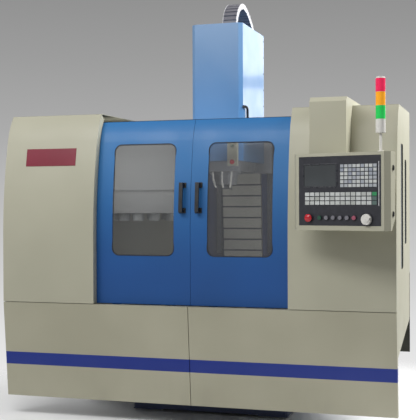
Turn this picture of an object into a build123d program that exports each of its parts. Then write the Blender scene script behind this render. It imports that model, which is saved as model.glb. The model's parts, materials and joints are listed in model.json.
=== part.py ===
from build123d import *
from math import asin, cos, degrees, radians, sin
import os

os.makedirs("parts", exist_ok=True)

# Vertical machining centre, in millimetres. X runs to the right, the front faces -Y, Z is up.
# The origin is on the floor, under the middle of the whole machine.

# Enclosure
width = 2600.0
half_width = width / 2
front_y = -875.0
skirt_z = 135.0
seam_z = 769.0
seam_gap = 4.0
tuck = 57.0
panel_hem = 45.0
sheet = 3.0
joint_gap = 0.2
opening_half = 645.0
wing_depth = 767.0
rear_half = 1140.0
rear_y = 560.0
roof_z = 2015.0
roof_slot_half = 260.0
roof_middle_y = -100.0
roof_clearance = 20.0

# Front curve: upright at first, then a long lean, then the rounded crown
upright_z = 1180.0
lean_radius = 3100.0
lean_angle = 12.3
crown_radius = 442.0

# Side walls: a lower edge that climbs to the rear, and a band below it, lapped behind the wall
fold_front_z = 775.0
fold_rear_z = 958.0
band_drop = 313.0
band_lap = 25.0
band_front = 48.0
step_low_z = 427.0
slot_offsets = (312.0, 517.0)
slot_widths = (125.0, 105.0)
slot_low = (1008.0, 1155.0)
slot_high = (1784.0, 1693.0)
slot_corner = 20.0

# Sliding doors
door_recess = 57.0
door_thickness = 40.0
door_skin = 3.0
door_rim = 24.0
door_overlap = 10.0
door_gap = 2.0
door_low_z = 772.0
door_high_z = 1961.0
jamb_depth = 52.0
window_inner = 112.0
window_outer = 535.0
window_low_z = 1086.0
window_high_z = 1805.0
window_radius = 45.0
window_rebate = 12.0
window_frame = 32.0
window_frame_depth = 22.0
glass_thickness = 6.0
handle_x = 54.0
handle_low_z = 1365.0
handle_high_z = 1555.0
handle_standoff = 46.0
handle_width = 24.0
handle_bar = 14.0
handle_base = 46.0

# Door rails
sill_front = 48.2
sill_back = 112.0
sill_low_z = 735.0
sill_high_z = 765.0
groove_front = 70.0
groove_width = 14.0
groove_depth = 15.0
guide_clearance = 2.0
header_front = 250.0
header_back = 310.0
header_low_z = 1890.0
header_high_z = 1970.0
hanger_rail_z = 1900.0
hanger_rail_height = 24.0
hanger_rail_depth = 12.0
hanger_width = 120.0
hanger_depth = 38.0
hanger_lip = 8.0
running = 0.3

# Name plate on the left panel
plate_x = -1147.0
plate_width = 360.0
plate_low_z = 1671.0
plate_high_z = 1786.0
plate_thickness = 2.5

# Base casting
base_front_y = -445.0
base_rear_y = 1060.0
flange_half = 540.0
flange_low_z = 18.0
flange_high_z = 75.0
base_half = 430.0
base_top_z = 540.0
base_wall = 40.0
base_flare = 20.0
base_flare_height = 60.0
base_corner = 14.0
base_ribs = (-60.0, 420.0)
pad_length = 200.0
pad_drop = 6.0
foot_plate = 12.0
foot_length = 200.0
foot_width = 150.0
jack_radius = 15.0
jack_clearance = 0.1
jack_nut_height = 24.0
jack_nut_radius = 26.0
jack_end = 20.0
jack_x = 485.0
jack_y = (-330.0, 300.0, 945.0)
anchor_radius = 11.0
anchor_y = (-420.0, 1035.0)

# Guide rails and their carriages
rail_width = 34.0
rail_waist = 25.0
rail_height = 36.0
block_width = 96.0
block_lift = 12.0

# Ball screws
screw_radius = 16.0
journal_radius = 12.0
screw_clearance = 0.1
screw_end_gap = 1.0
coupling_length = 30.0
nut_half = 38.0
nut_drop = 36.0
nut_length = 100.0
nut_inset = 40.0

# Servo motors
servo_flange = 116.0
z_servo_flange = 130.0
y_servo_length = 120.0
x_servo_length = 110.0
z_servo_length = 150.0
servo_plate_width = 200.0
servo_plate_lap = 90.0
servo_plate_height = 36.0

# Y axis, base to saddle
y_rail_x = 300.0
y_rail_front = -415.0
y_rail_rear = 512.0
y_screw_z = 470.0
y_screw_rear = 480.0
y_block_y = 165.0
y_block_length = 130.0
channel_half = 50.0

# Saddle
saddle_half = 400.0
saddle_front_y = -300.0
saddle_rear_y = 250.0
saddle_low_z = 580.0
saddle_top_z = 710.0
wing_half = 620.0
wing_low_z = 630.0
wing_half_depth = 205.0

# X axis, saddle to table
x_rail_y = 150.0
x_screw_z = 690.0
x_block_x = 160.0
x_block_length = 100.0
x_channel_low_z = 650.0
end_wall = 20.0

# Table
table_half = 500.0
table_half_depth = 250.0
table_low_z = 760.0
table_top_z = 880.0
table_corner = 12.0
slot_pitch = 100.0
slot_count = 5
slot_neck = 18.0
slot_neck_depth = 16.0
slot_foot = 30.0
slot_foot_depth = 13.0

# Column
column_front_y = 520.0
column_rear_y = 900.0
column_half = 300.0
column_foot_half = 400.0
column_flare_z = 900.0
column_top_z = 2060.0
recess_half = 72.0
recess_depth = 110.0
recess_low_z = 840.0
core_wall = 45.0
core_windows = ((620.0, 940.0), (1000.0, 1320.0), (1380.0, 1700.0), (1760.0, 1990.0))
ledge_drop = 20.0
ledge_thickness = 40.0

# Z axis, column to headstock
z_rail_x = 200.0
z_rail_low = 1040.0
z_rail_high = 2050.0
z_screw_y = 570.0
z_screw_low = 1010.0
z_block_length = 120.0

# Headstock and spindle
head_half = 150.0
head_front_y = -150.0
head_back_y = 390.0
head_low_z = 1643.0
head_top_z = 2060.0
back_plate_half = 240.0
back_plate_low_z = 1640.0
back_plate_high_z = 2040.0
back_plate_y = 470.0
head_cut_depth = 160.0
head_cut_height = 120.0
head_corner = 40.0
carriage_inset = 20.0
cartridge_radius = 85.0
cartridge_taper = 8.0
cartridge_flange = 105.0
cartridge_flange_height = 22.0
cartridge_low_z = 1552.0
nose_z = 1520.0
nose_radius = 44.45
shaft_radius = 35.0
spindle_clearance = 0.1
taper_mouth = 22.2
taper_end = 12.7
taper_depth = 65.0
shoulder_gap = 4.0
shoulder_step = 3.0
key_width = 16.0
key_height = 8.0
key_inset = 5.0
key_margin = 2.0
motor_flange = 240.0
motor_flange_height = 24.0
motor_corner = 20.0
motor_radius = 105.0
motor_height = 350.0
motor_cap_radius = 90.0
motor_cap_height = 50.0

# Head cover
cover_half = 182.5
cover_front_y = -226.0
cover_rear_y = 387.0
cover_low_z = 1714.0
cover_top_z = 2663.0
cover_chamfer = 25.0
cover_rear_gap = 5.0
cover_flange_gap = 10.0

# Drag chain arch on the head cover
chain_left = 26.0
chain_width = 94.0
chain_thickness = 32.0
chain_front_y = -136.0
chain_rear_y = 365.0
chain_rise = 157.0
chain_root = 20.0
chain_arch = ((42.0, 0.6), (156.0, 1.0), (340.0, 0.7))

# Small switch box on the head
switch_x = 85.0
switch_width = 70.0
switch_low_z = 1677.0
switch_high_z = 1837.0
switch_depth = 36.0
switch_corner = 6.0

# Chip tray
tray_front = 100.0
tray_half = 1228.0
tray_side_z = 700.0
tray_seat = 20.0
tray_lip = 8.0

# Coolant tank
tank_inset = 128.0
tank_gap = 0.3
tank_front_y = 20.0
tank_rear_y = 690.0
tank_low_z = 12.0
tank_high_z = 330.0
spout_x = -750.0
spout_y = 300.0
spout_size = 110.0
spout_dip = 10.0
lid_opening = 170.0
lid_corner = 10.0
runner_width = 40.0
runner_inset = 20.0
pump_inset = 80.0
pump_left = 120.0
pump_flange_radius = 70.0
pump_flange_height = 12.0
pump_radius = 52.0
pump_height = 180.0

# Tool magazine
drum_x = -560.0
pot_circle = 290.0
pot_count = 16
pot_radius = 38.0
pot_bore = 23.0
pot_low_z = 1300.0
disc_low_z = 1420.0
disc_high_z = 1450.0
hub_high_z = 1500.0
beam_front_y = 200.0
beam_rear_y = 280.0
beam_low_z = 1570.0
beam_high_z = 1690.0
beam_left_x = -840.0
arm_plate = 30.0
mag_rail_half = 14.0
mag_rail_depth = 18.0
shoe_half = 110.0
shoe_depth = 44.0
shoe_gap = 2.0
bracket_half = 60.0
bracket_front_y = -70.0
bracket_height = 36.0
drum_shaft = 20.0
drum_motor_radius = 56.0
drum_motor_height = 90.0
disc_rim = 6.0
hub_radius = 150.0
hub_taper = 25.0

# Electrical cabinet
cabinet_half = 430.0
cabinet_rear_y = 1200.0
cabinet_high_z = 1950.0
cabinet_door_thickness = 24.0
cabinet_door_gap = 0.4
hinge_radius = 9.0
hinge_length = 80.0
hinge_inset = 150.0
hinge_leaf = 6.0
drive_rows = (1200.0, 1640.0)
drive_pitch = 190.0
drive_count = 4
drive_width = 133.0
drive_height = 320.0
drive_depth = 150.0
supply_width = 700.0
supply_height = 200.0
supply_z = 780.0
door_corner = 6.0
switch_knob_x = 330.0
switch_knob_z = 1600.0
switch_plate = 90.0
switch_plate_corner = 8.0
switch_plate_height = 4.0
switch_shaft = 10.0
switch_dial = 34.0
switch_dial_height = 12.0
switch_grip = (18.0, 66.0)
switch_grip_corner = 6.0
switch_grip_height = 18.0

# Pendant arm
arm_left = 800.0
arm_right = 1020.0
arm_proud = 90.0
arm_low_z = 1440.0
arm_top_z = 2050.0
arm_reach = 600.0
arm_corner = 28.0
pivot_x = 930.3
pivot_y = front_y - 130.3
pivot_radius = 24.0
pin_radius = 12.0
knuckle_height = 24.0
duct_gap = 0.3

# Pendant
pendant_yaw = 17.0
pendant_x = 1010.0
pendant_y = front_y - 280.0
pendant_half = 278.0
pendant_low_z = 1262.0
pendant_high_z = 1706.0
pendant_chamfer = 27.0
pendant_depth = 85.0
bezel_side = 18.0
bezel_top = 18.0
bezel_low = 27.0
bezel_lip = 2.5
face_plate = 2.2
rear_cut_w = 45.0
rear_cut_z = 70.0
screen_left = -225.0
screen_right = -22.0
screen_low_z = 1516.0
screen_high_z = 1638.0
screen_depth = 20.0
keypad_field = (6.0, 236.0, 1507.0, 1641.0)
keypad_columns = 9
keypad_rows = 6
operator_field = (-221.0, 236.0, 1407.0, 1483.0)
operator_columns = 14
operator_rows = 3
key_foil = 0.5
key_gap = 5.0
key_height = 1.5
button_u = -122.0
button_pitch = 43.6
button_z = 1335.0
button_count = 6
button_radius = 12.0
button_stem = 7.0
button_cap = 8.0
button_travel = 4.0
collar_radius = 15.5
collar_height = 4.0
stem_proud = 12.0
stop_u = -192.0
stop_z = 1333.0
stop_radius = 23.0
stop_stem = 8.0
stop_cap = 17.0
stop_dome = 10.0
stop_travel = 6.0
wheel_u = 174.0
wheel_z = 1326.0
wheel_radius = 31.0
wheel_shaft = 6.0
wheel_thickness = 14.0
crank_radius = 24.0
crank_angle = 7.0
crank_knob = 7.0
crank_length = 26.0
cable_entry = 20.0

# Signal light
mast_u = 236.0
mast_w = 45.0
mast_radius = 8.0
lamp_radius = 27.5
lamp_base_z = 1812.0
lens_low_z = 1889.0
lens_height = 75.0
lens_spacer = 1.5
lamp_cap = 8.0
mast_foot = 16.0


def crown_angle_at(z, depth):
    """Angle on the crown arc where a surface that lies depth behind the skin reaches z."""
    return degrees(asin((z - crown_z) / (crown_radius - depth)))


def front_band(x, outer, inner, low_z, high_angle):
    """Face in the plane at x, between two surfaces parallel to the front skin."""
    lean_centre = (front_y + lean_radius, upright_z)
    crown_centre = (crown_y, crown_z)
    crown_turn = lean_angle - high_angle
    with BuildSketch(Plane.YZ.offset(x), mode=Mode.PRIVATE) as band:
        with BuildLine():
            face = Line((front_y + outer, low_z), (front_y + outer, upright_z))
            CenterArc(lean_centre, lean_radius - outer, 180, -lean_angle)
            crown = CenterArc(crown_centre, crown_radius - outer, 180 - lean_angle, crown_turn)
            back = Line((front_y + inner, low_z), (front_y + inner, upright_z))
            CenterArc(lean_centre, lean_radius - inner, 180, -lean_angle)
            crown_back = CenterArc(crown_centre, crown_radius - inner, 180 - lean_angle, crown_turn)
            Line(face @ 0, back @ 0)
            Line(crown @ 1, crown_back @ 1)
        make_face()
    return band.sketch


def lean_strip(x, outer, inner, low_z, high_z):
    """Face in the plane at x, on the leaning part of the front, between two heights."""
    centre = (front_y + lean_radius, upright_z)
    low_angle = degrees(asin((low_z - upright_z) / lean_radius))
    turn = degrees(asin((high_z - upright_z) / lean_radius)) - low_angle
    with BuildSketch(Plane.YZ.offset(x), mode=Mode.PRIVATE) as strip:
        with BuildLine():
            face = CenterArc(centre, lean_radius - outer, 180 - low_angle, -turn)
            back = CenterArc(centre, lean_radius - inner, 180 - low_angle, -turn)
            Line(face @ 0, back @ 0)
            Line(face @ 1, back @ 1)
        make_face()
    return strip.sketch


def block(low, high, mode=Mode.ADD):
    """Box between two corners, in the part being built."""
    size = [top - bottom for bottom, top in zip(low, high)]
    with Locations(low):
        Box(*size, align=(Align.MIN, Align.MIN, Align.MIN), mode=mode)


def rail_profile(plane):
    """Section of a guide rail that stands on the plane: foot, waist and head."""
    half = rail_width / 2
    waist = rail_waist / 2
    with BuildSketch(plane, mode=Mode.PRIVATE) as section:
        with BuildLine():
            right = Polyline(
                (0, 0),
                (half, 0),
                (half, rail_height * 0.3),
                (waist, rail_height * 0.5),
                (waist, rail_height * 0.7),
                (half, rail_height * 0.85),
                (half, rail_height),
                (0, rail_height),
            )
            mirror(right, about=Plane.YZ)
        make_face()
    return section.sketch


def servo_motor(plane, flange_size, body_length):
    """Servo motor whose flange lies on the plane and whose body stands out of it."""
    flange_thickness = 14.0
    cap_length = 40.0
    with BuildPart(mode=Mode.PRIVATE) as motor:
        with BuildSketch(plane):
            RectangleRounded(flange_size, flange_size, 8)
        extrude(amount=flange_thickness)
        with BuildSketch(plane.offset(flange_thickness)):
            RectangleRounded(flange_size - 8, flange_size - 8, 16)
        extrude(amount=body_length)
        with BuildSketch(plane.offset(flange_thickness + body_length)):
            Circle(flange_size * 0.4)
        extrude(amount=cap_length, taper=6)
    return motor.part


crown_y = front_y + lean_radius - (lean_radius - crown_radius) * cos(radians(lean_angle))
crown_z = upright_z + (lean_radius - crown_radius) * sin(radians(lean_angle))
roof_angle = crown_angle_at(roof_z - sheet, 0)
door_angle = crown_angle_at(door_high_z, door_recess)
wing_width = half_width - opening_half
upper_low_z = seam_z + seam_gap / 2
lower_high_z = seam_z - seam_gap / 2
roof_front_y = crown_y - crown_radius * cos(radians(roof_angle)) + sheet
wing_rear_y = front_y + wing_depth
tray_low_z = base_top_z
cabinet_low_z = base_top_z
cabinet_front_y = column_rear_y

# Front panels: a curved skin with a return along the door opening and a hem at the seam
with BuildPart() as left_front_panel:
    extrude(front_band(-half_width, 0, sheet, upper_low_z, roof_angle), amount=wing_width)
    jamb = front_band(-opening_half - sheet, 0, jamb_depth, upper_low_z, roof_angle)
    extrude(jamb, amount=sheet)
    block(
        (-half_width, front_y, upper_low_z),
        (-opening_half, front_y + panel_hem, upper_low_z + sheet),
    )
left_front_panel.part.label = "left_front_panel"
export_step(left_front_panel.part, "parts/left_front_panel.step")

with BuildPart() as right_front_panel:
    mirror(left_front_panel.part, about=Plane.YZ)
right_front_panel.part.label = "right_front_panel"
export_step(right_front_panel.part, "parts/right_front_panel.step")

# Lower panels: shallow trays that tuck back towards the floor
with BuildPart() as lower_left_panel:
    with BuildSketch(Plane.YZ.offset(-half_width)):
        with BuildLine():
            Polyline(
                (front_y, lower_high_z),
                (front_y + tuck, skirt_z),
                (front_y + tuck + panel_hem, skirt_z),
                (front_y + panel_hem, lower_high_z),
                close=True,
            )
        make_face()
    extrude(amount=half_width - seam_gap / 2)
    back = lower_left_panel.faces().filter_by(lambda f: f.normal_at().Y > 0.9)
    offset(amount=-sheet, openings=back)
lower_left_panel.part.label = "lower_left_panel"
export_step(lower_left_panel.part, "parts/lower_left_panel.step")

with BuildPart() as lower_right_panel:
    mirror(lower_left_panel.part, about=Plane.YZ)
lower_right_panel.part.label = "lower_right_panel"
export_step(lower_right_panel.part, "parts/lower_right_panel.step")

# Bare plate on the left panel, bent to the lean of the skin
with BuildPart() as name_plate:
    extrude(lean_strip(plate_x, -plate_thickness, 0, plate_low_z, plate_high_z), amount=plate_width)
name_plate.part.label = "name_plate"
export_step(name_plate.part, "parts/name_plate.step")

# Side walls
wall_depth = sheet + joint_gap
wall_top_z = roof_z - sheet - joint_gap
wall_angle = crown_angle_at(wall_top_z, wall_depth)
fold_slope = (fold_rear_z - fold_front_z) / wing_depth
fold_start_z = fold_front_z + fold_slope * wall_depth
with BuildPart() as right_side_wall:
    with BuildSketch(Plane.YZ.offset(half_width - sheet)):
        with BuildLine():
            face = Line((front_y + wall_depth, fold_start_z), (front_y + wall_depth, upright_z))
            CenterArc((front_y + lean_radius, upright_z), lean_radius - wall_depth, 180, -lean_angle)
            crown = CenterArc(
                (crown_y, crown_z),
                crown_radius - wall_depth,
                180 - lean_angle,
                lean_angle - wall_angle,
            )
            Polyline(crown @ 1, (wing_rear_y, wall_top_z), (wing_rear_y, fold_rear_z), face @ 0)
        make_face()
        for offset_y, slot_width, low_z, high_z in zip(slot_offsets, slot_widths, slot_low, slot_high):
            with Locations((front_y + offset_y, (low_z + high_z) / 2)):
                RectangleRounded(slot_width, high_z - low_z, slot_corner, mode=Mode.SUBTRACT)
    extrude(amount=sheet)
    # Lower band: a second sheet that laps behind the wall and hangs down from it
    band_front_z = fold_front_z + fold_slope * band_front
    with BuildSketch(Plane.YZ.offset(half_width - 2 * sheet)):
        with BuildLine():
            Polyline(
                (front_y + band_front, band_front_z + band_lap),
                (wing_rear_y, fold_rear_z + band_lap),
                (wing_rear_y, fold_rear_z - band_drop),
                (front_y + band_front, band_front_z - band_drop),
                close=True,
            )
        make_face()
    extrude(amount=sheet)
right_side_wall.part.label = "right_side_wall"
export_step(right_side_wall.part, "parts/right_side_wall.step")

with BuildPart() as left_side_wall:
    mirror(right_side_wall.part, about=Plane.YZ)
left_side_wall.part.label = "left_side_wall"
export_step(left_side_wall.part, "parts/left_side_wall.step")

# Rear walls: on each side a step inwards, a side plate and a plate back to the column
column_flare = (column_foot_half - column_half) / (column_flare_z - base_top_z)
wall_high_z = roof_z - sheet
with BuildPart() as rear_walls:
    block(
        (rear_half - sheet, wing_rear_y, tray_side_z),
        (half_width, wing_rear_y + sheet, wall_high_z),
    )
    block(
        (rear_half + joint_gap, wing_rear_y, step_low_z),
        (half_width, wing_rear_y + sheet, tray_side_z),
    )
    block(
        (rear_half - sheet, wing_rear_y + sheet, tray_side_z),
        (rear_half, rear_y, wall_high_z),
    )
    with BuildSketch(Plane.XZ.offset(-rear_y)):
        with BuildLine():
            Polyline(
                (rear_half, tray_side_z),
                (rear_half, wall_high_z),
                (column_half, wall_high_z),
                (column_half, column_flare_z),
                (column_half + column_flare * (column_flare_z - tray_side_z), tray_side_z),
                close=True,
            )
        make_face()
    extrude(amount=-sheet)
    mirror(about=Plane.YZ)
rear_walls.part.label = "rear_walls"
export_step(rear_walls.part, "parts/rear_walls.step")

# Roof: a plate over each wing, drawn in at the rear, with the middle open for the spindle head
with BuildPart() as roof_panels:
    with BuildSketch(Plane.XY.offset(roof_z - sheet)):
        with BuildLine():
            Polyline(
                (half_width, roof_front_y),
                (opening_half, roof_front_y),
                (opening_half, roof_middle_y),
                (roof_slot_half, roof_middle_y),
                (roof_slot_half, column_front_y - roof_clearance),
                (column_half + joint_gap, column_front_y - roof_clearance),
                (column_half + joint_gap, rear_y + sheet),
                (rear_half, rear_y + sheet),
                (rear_half, wing_rear_y + sheet),
                (half_width, wing_rear_y + sheet),
                close=True,
            )
        make_face()
    extrude(amount=sheet)
    mirror(about=Plane.YZ)
roof_panels.part.label = "roof_panels"
export_step(roof_panels.part, "parts/roof_panels.step")

# Door rails: a grooved sill under the doors and a header beam with a hanger rail
header_half = half_width - sheet - joint_gap
sill_half = header_half - sheet
with BuildPart() as door_rails:
    block(
        (-sill_half, front_y + sill_front, sill_low_z),
        (sill_half, front_y + sill_back, sill_high_z),
    )
    block(
        (-sill_half, front_y + groove_front, sill_high_z - groove_depth),
        (sill_half, front_y + groove_front + groove_width, sill_high_z),
        mode=Mode.SUBTRACT,
    )
    with BuildSketch(Plane.YZ.offset(-header_half)):
        with Locations((front_y + header_front, header_low_z)):
            Rectangle(
                header_back - header_front,
                header_high_z - header_low_z,
                align=(Align.MIN, Align.MIN),
            )
    extrude(amount=2 * header_half)
    block(
        (-header_half, front_y + header_front - hanger_rail_depth, hanger_rail_z),
        (header_half, front_y + header_front, hanger_rail_z + hanger_rail_height),
    )
door_rails.part.label = "door_rails"
export_step(door_rails.part, "parts/door_rails.step")

# Sliding doors: a curved skin with a deep rim, and a framed window opening
door_left = -opening_half - door_overlap
door_right = -door_gap / 2
window_width = window_outer - window_inner
window_height = window_high_z - window_low_z
window_x = -(window_inner + window_outer) / 2
window_z = (window_low_z + window_high_z) / 2
door_back = door_recess + door_thickness
frame_back = door_recess + window_frame_depth
glass_front = door_recess + door_skin + joint_gap
cut_depth = 300.0
window_plane = Plane.XZ.offset(-front_y + cut_depth / 3)

with BuildPart() as window_surround:
    with BuildSketch(window_plane):
        with Locations((window_x, window_z)):
            RectangleRounded(
                window_width + 2 * window_frame,
                window_height + 2 * window_frame,
                window_radius + window_frame,
            )
    extrude(amount=-cut_depth)
    surround = front_band(door_left, 0, frame_back, door_low_z, door_angle)
    extrude(surround, amount=door_right - door_left, mode=Mode.INTERSECT)

with BuildPart() as door_pocket:
    pocket = front_band(
        door_left + door_rim,
        door_recess + door_skin,
        door_back + 1,
        door_low_z + door_rim,
        crown_angle_at(door_high_z - door_rim, door_recess),
    )
    extrude(pocket, amount=door_right - door_left - 2 * door_rim)
    add(window_surround.part, mode=Mode.SUBTRACT)

with BuildPart() as glass_rebate:
    with BuildSketch(window_plane):
        with Locations((window_x, window_z)):
            RectangleRounded(
                window_width + 2 * window_rebate,
                window_height + 2 * window_rebate,
                window_radius + window_rebate,
            )
    extrude(amount=-cut_depth)
    behind = front_band(door_left, door_recess + door_skin, door_back + 1, door_low_z, door_angle)
    extrude(behind, amount=door_right - door_left, mode=Mode.INTERSECT)

hanger_inset = 0.22 * (door_right - door_left)
hanger_front_y = front_y + header_front - hanger_rail_depth
with BuildPart() as left_door:
    panel = front_band(door_left, door_recess, door_back, door_low_z, door_angle)
    extrude(panel, amount=door_right - door_left)
    add(door_pocket.part, mode=Mode.SUBTRACT)
    with BuildSketch(window_plane):
        with Locations((window_x, window_z)):
            RectangleRounded(window_width, window_height, window_radius)
    extrude(amount=-cut_depth, mode=Mode.SUBTRACT)
    add(glass_rebate.part, mode=Mode.SUBTRACT)
    # Hanger carriages at the top and guide fins at the bottom
    for centre in (door_left + hanger_inset, door_right - hanger_inset):
        block(
            (centre - hanger_width / 2, hanger_front_y - hanger_depth, hanger_rail_z - hanger_lip),
            (
                centre + hanger_width / 2,
                front_y + header_front - guide_clearance,
                hanger_rail_z + hanger_rail_height + hanger_lip,
            ),
        )
        block(
            (centre - hanger_width / 2, hanger_front_y - running, hanger_rail_z - running),
            (
                centre + hanger_width / 2,
                front_y + header_front,
                hanger_rail_z + hanger_rail_height + running,
            ),
            mode=Mode.SUBTRACT,
        )
        block(
            (
                centre - hanger_width / 4,
                front_y + groove_front + guide_clearance,
                sill_high_z - groove_depth + guide_clearance,
            ),
            (
                centre + hanger_width / 4,
                front_y + groove_front + groove_width - guide_clearance,
                door_low_z + door_rim / 2,
            ),
        )
left_door.part.label = "left_door"
export_step(left_door.part, "parts/left_door.step")

with BuildPart() as right_door:
    mirror(left_door.part, about=Plane.YZ)
right_door.part.label = "right_door"
export_step(right_door.part, "parts/right_door.step")

with BuildPart() as left_window:
    with BuildSketch(window_plane):
        with Locations((window_x, window_z)):
            RectangleRounded(
                window_width + 2 * window_rebate - 2 * joint_gap,
                window_height + 2 * window_rebate - 2 * joint_gap,
                window_radius + window_rebate,
            )
    extrude(amount=-cut_depth)
    pane = front_band(door_left, glass_front, glass_front + glass_thickness, door_low_z, door_angle)
    extrude(pane, amount=door_right - door_left, mode=Mode.INTERSECT)
left_window.part.label = "left_window"
export_step(left_window.part, "parts/left_window.step")

with BuildPart() as right_window:
    mirror(left_window.part, about=Plane.YZ)
right_window.part.label = "right_window"
export_step(right_window.part, "parts/right_window.step")

# Door handles: a flat bar on two feet, which follow the lean of the door
foot_height = 26.0
with BuildPart() as left_handle:
    bar = lean_strip(
        -handle_x - handle_width / 2,
        door_recess - handle_standoff,
        door_recess - handle_standoff + handle_bar,
        handle_low_z,
        handle_high_z,
    )
    extrude(bar, amount=handle_width)
    fillet(left_handle.edges().filter_by(Axis.X), 4)
    for low_z in (handle_low_z, handle_high_z - foot_height):
        foot = lean_strip(
            -handle_x - handle_width / 2,
            door_recess - handle_standoff + handle_bar / 2,
            door_recess,
            low_z,
            low_z + foot_height,
        )
        extrude(foot, amount=handle_width)
        flange = lean_strip(
            -handle_x - handle_base / 2, door_recess - 5, door_recess, low_z - 4, low_z + foot_height + 4
        )
        extrude(flange, amount=handle_base)
left_handle.part.label = "left_handle"
export_step(left_handle.part, "parts/left_handle.step")

with BuildPart() as right_handle:
    mirror(left_handle.part, about=Plane.YZ)
right_handle.part.label = "right_handle"
export_step(right_handle.part, "parts/right_handle.step")

# Base casting: a wide flange on pads, a hollow body with a screw channel in its top
with BuildPart() as base_casting:
    block((-flange_half, base_front_y, flange_low_z), (flange_half, base_rear_y, flange_high_z))
    with BuildSketch(Plane.XZ.offset(-base_front_y)):
        with BuildLine():
            Polyline(
                (-base_half - base_flare, flange_high_z),
                (base_half + base_flare, flange_high_z),
                (base_half, flange_high_z + base_flare_height),
                (base_half, base_top_z),
                (-base_half, base_top_z),
                (-base_half, flange_high_z + base_flare_height),
                close=True,
            )
        make_face()
    extrude(amount=-(base_rear_y - base_front_y))
    flange_edges = base_casting.edges().filter_by(Axis.Z).group_by(Edge.length)[0]
    chamfer(flange_edges, base_corner)
    with BuildSketch(Plane.XY.offset(flange_low_z)):
        for side_y in (base_front_y, jack_y[1] - pad_length / 2, base_rear_y - pad_length):
            for side_x in (-flange_half, flange_half - pad_length):
                with Locations((side_x, side_y)):
                    Rectangle(pad_length, pad_length, align=(Align.MIN, Align.MIN))
    extrude(amount=-pad_drop)
    # Hollow underneath, with two cross ribs
    hollow_starts = [y + base_wall for y in (base_front_y, *base_ribs)]
    hollow_ends = [*base_ribs, base_rear_y - base_wall]
    for hollow_start, hollow_end in zip(hollow_starts, hollow_ends):
        block(
            (-base_half + base_wall, hollow_start, flange_low_z),
            (base_half - base_wall, hollow_end, y_screw_z - channel_half - base_wall),
            mode=Mode.SUBTRACT,
        )
    # Channel for the Y screw, open at the top, closed by a wall at each end
    block(
        (-channel_half, base_front_y + end_wall, y_screw_z - channel_half),
        (channel_half, y_screw_rear, base_top_z),
        mode=Mode.SUBTRACT,
    )
    with BuildSketch(Plane.XZ.offset(-base_front_y)):
        with Locations((0, y_screw_z)):
            Circle(journal_radius + screw_clearance)
    extrude(amount=-end_wall, mode=Mode.SUBTRACT)
    with BuildSketch(Plane.XZ.offset(-y_screw_rear)):
        with Locations((0, y_screw_z)):
            Circle(journal_radius + screw_clearance)
    extrude(amount=-end_wall, mode=Mode.SUBTRACT)
    # Jack screw holes and anchor holes through the flange
    jack_places = [(side * jack_x, y) for side in (-1, 1) for y in jack_y]
    anchor_places = [(side * jack_x, y) for side in (-1, 1) for y in anchor_y]
    with Locations([(x, y, flange_high_z) for x, y in jack_places]):
        Hole(jack_radius + jack_clearance, depth=flange_high_z)
    with Locations([(x, y, flange_high_z) for x, y in anchor_places]):
        Hole(anchor_radius, depth=flange_high_z)
base_casting.part.label = "base_casting"
export_step(base_casting.part, "parts/base_casting.step")

# Levelling feet: a plate under each pad, with its jack screw and lock nut near the outer end
foot_x = flange_half - foot_length / 2
with BuildPart() as levelling_feet:
    with Locations([(side * foot_x, y, 0) for side in (-1, 1) for y in jack_y]):
        Box(foot_length, foot_width, foot_plate, align=(Align.CENTER, Align.CENTER, Align.MIN))
    with Locations([(x, y, 0) for x, y in jack_places]):
        Cylinder(
            jack_radius,
            flange_high_z + jack_nut_height + jack_end,
            align=(Align.CENTER, Align.CENTER, Align.MIN),
        )
    with BuildSketch(Plane.XY.offset(flange_high_z)):
        with Locations(jack_places):
            RegularPolygon(jack_nut_radius, 6)
    extrude(amount=jack_nut_height)
levelling_feet.part.label = "levelling_feet"
export_step(levelling_feet.part, "parts/levelling_feet.step")

# Column: flared foot, straight shaft and a recess in front for the Z screw
with BuildPart() as column:
    with BuildSketch(Plane.XZ.offset(-column_front_y)):
        with BuildLine():
            Polyline(
                (-column_foot_half, base_top_z),
                (column_foot_half, base_top_z),
                (column_half, column_flare_z),
                (column_half, column_top_z),
                (-column_half, column_top_z),
                (-column_half, column_flare_z),
                close=True,
            )
        make_face()
    extrude(amount=-(column_rear_y - column_front_y))
    block(
        (-recess_half, column_front_y, recess_low_z),
        (recess_half, column_front_y + recess_depth, column_top_z),
        mode=Mode.SUBTRACT,
    )
    # Hollow core, open at the rear behind ribs
    for core_low_z, core_high_z in core_windows:
        block(
            (-column_half + core_wall, column_front_y + recess_depth + core_wall, core_low_z),
            (column_half - core_wall, column_rear_y, core_high_z),
            mode=Mode.SUBTRACT,
        )
    # Ledge under the Z screw, with its bearing bore
    ledge_top_z = z_screw_low - ledge_drop
    ledge_low_z = ledge_top_z - ledge_thickness
    block(
        (-recess_half, column_front_y, ledge_low_z),
        (recess_half, column_front_y + recess_depth, ledge_top_z),
    )
    with BuildSketch(Plane.XY.offset(ledge_low_z)):
        with Locations((0, z_screw_y)):
            Circle(journal_radius + screw_clearance)
    extrude(amount=ledge_thickness, mode=Mode.SUBTRACT)
column.part.label = "column"
export_step(column.part, "parts/column.step")

# Guide rails of the Y axis on the base and of the Z axis on the column
with BuildPart() as guide_rails:
    for side in (-1, 1):
        y_seat = Plane(
            origin=(side * y_rail_x, y_rail_front, base_top_z), x_dir=(-1, 0, 0), z_dir=(0, 1, 0)
        )
        extrude(rail_profile(y_seat), amount=y_rail_rear - y_rail_front)
        z_seat = Plane(
            origin=(side * z_rail_x, column_front_y, z_rail_low), x_dir=(-1, 0, 0), z_dir=(0, 0, 1)
        )
        extrude(rail_profile(z_seat), amount=z_rail_high - z_rail_low)
guide_rails.part.label = "guide_rails"
export_step(guide_rails.part, "parts/guide_rails.step")

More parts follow.
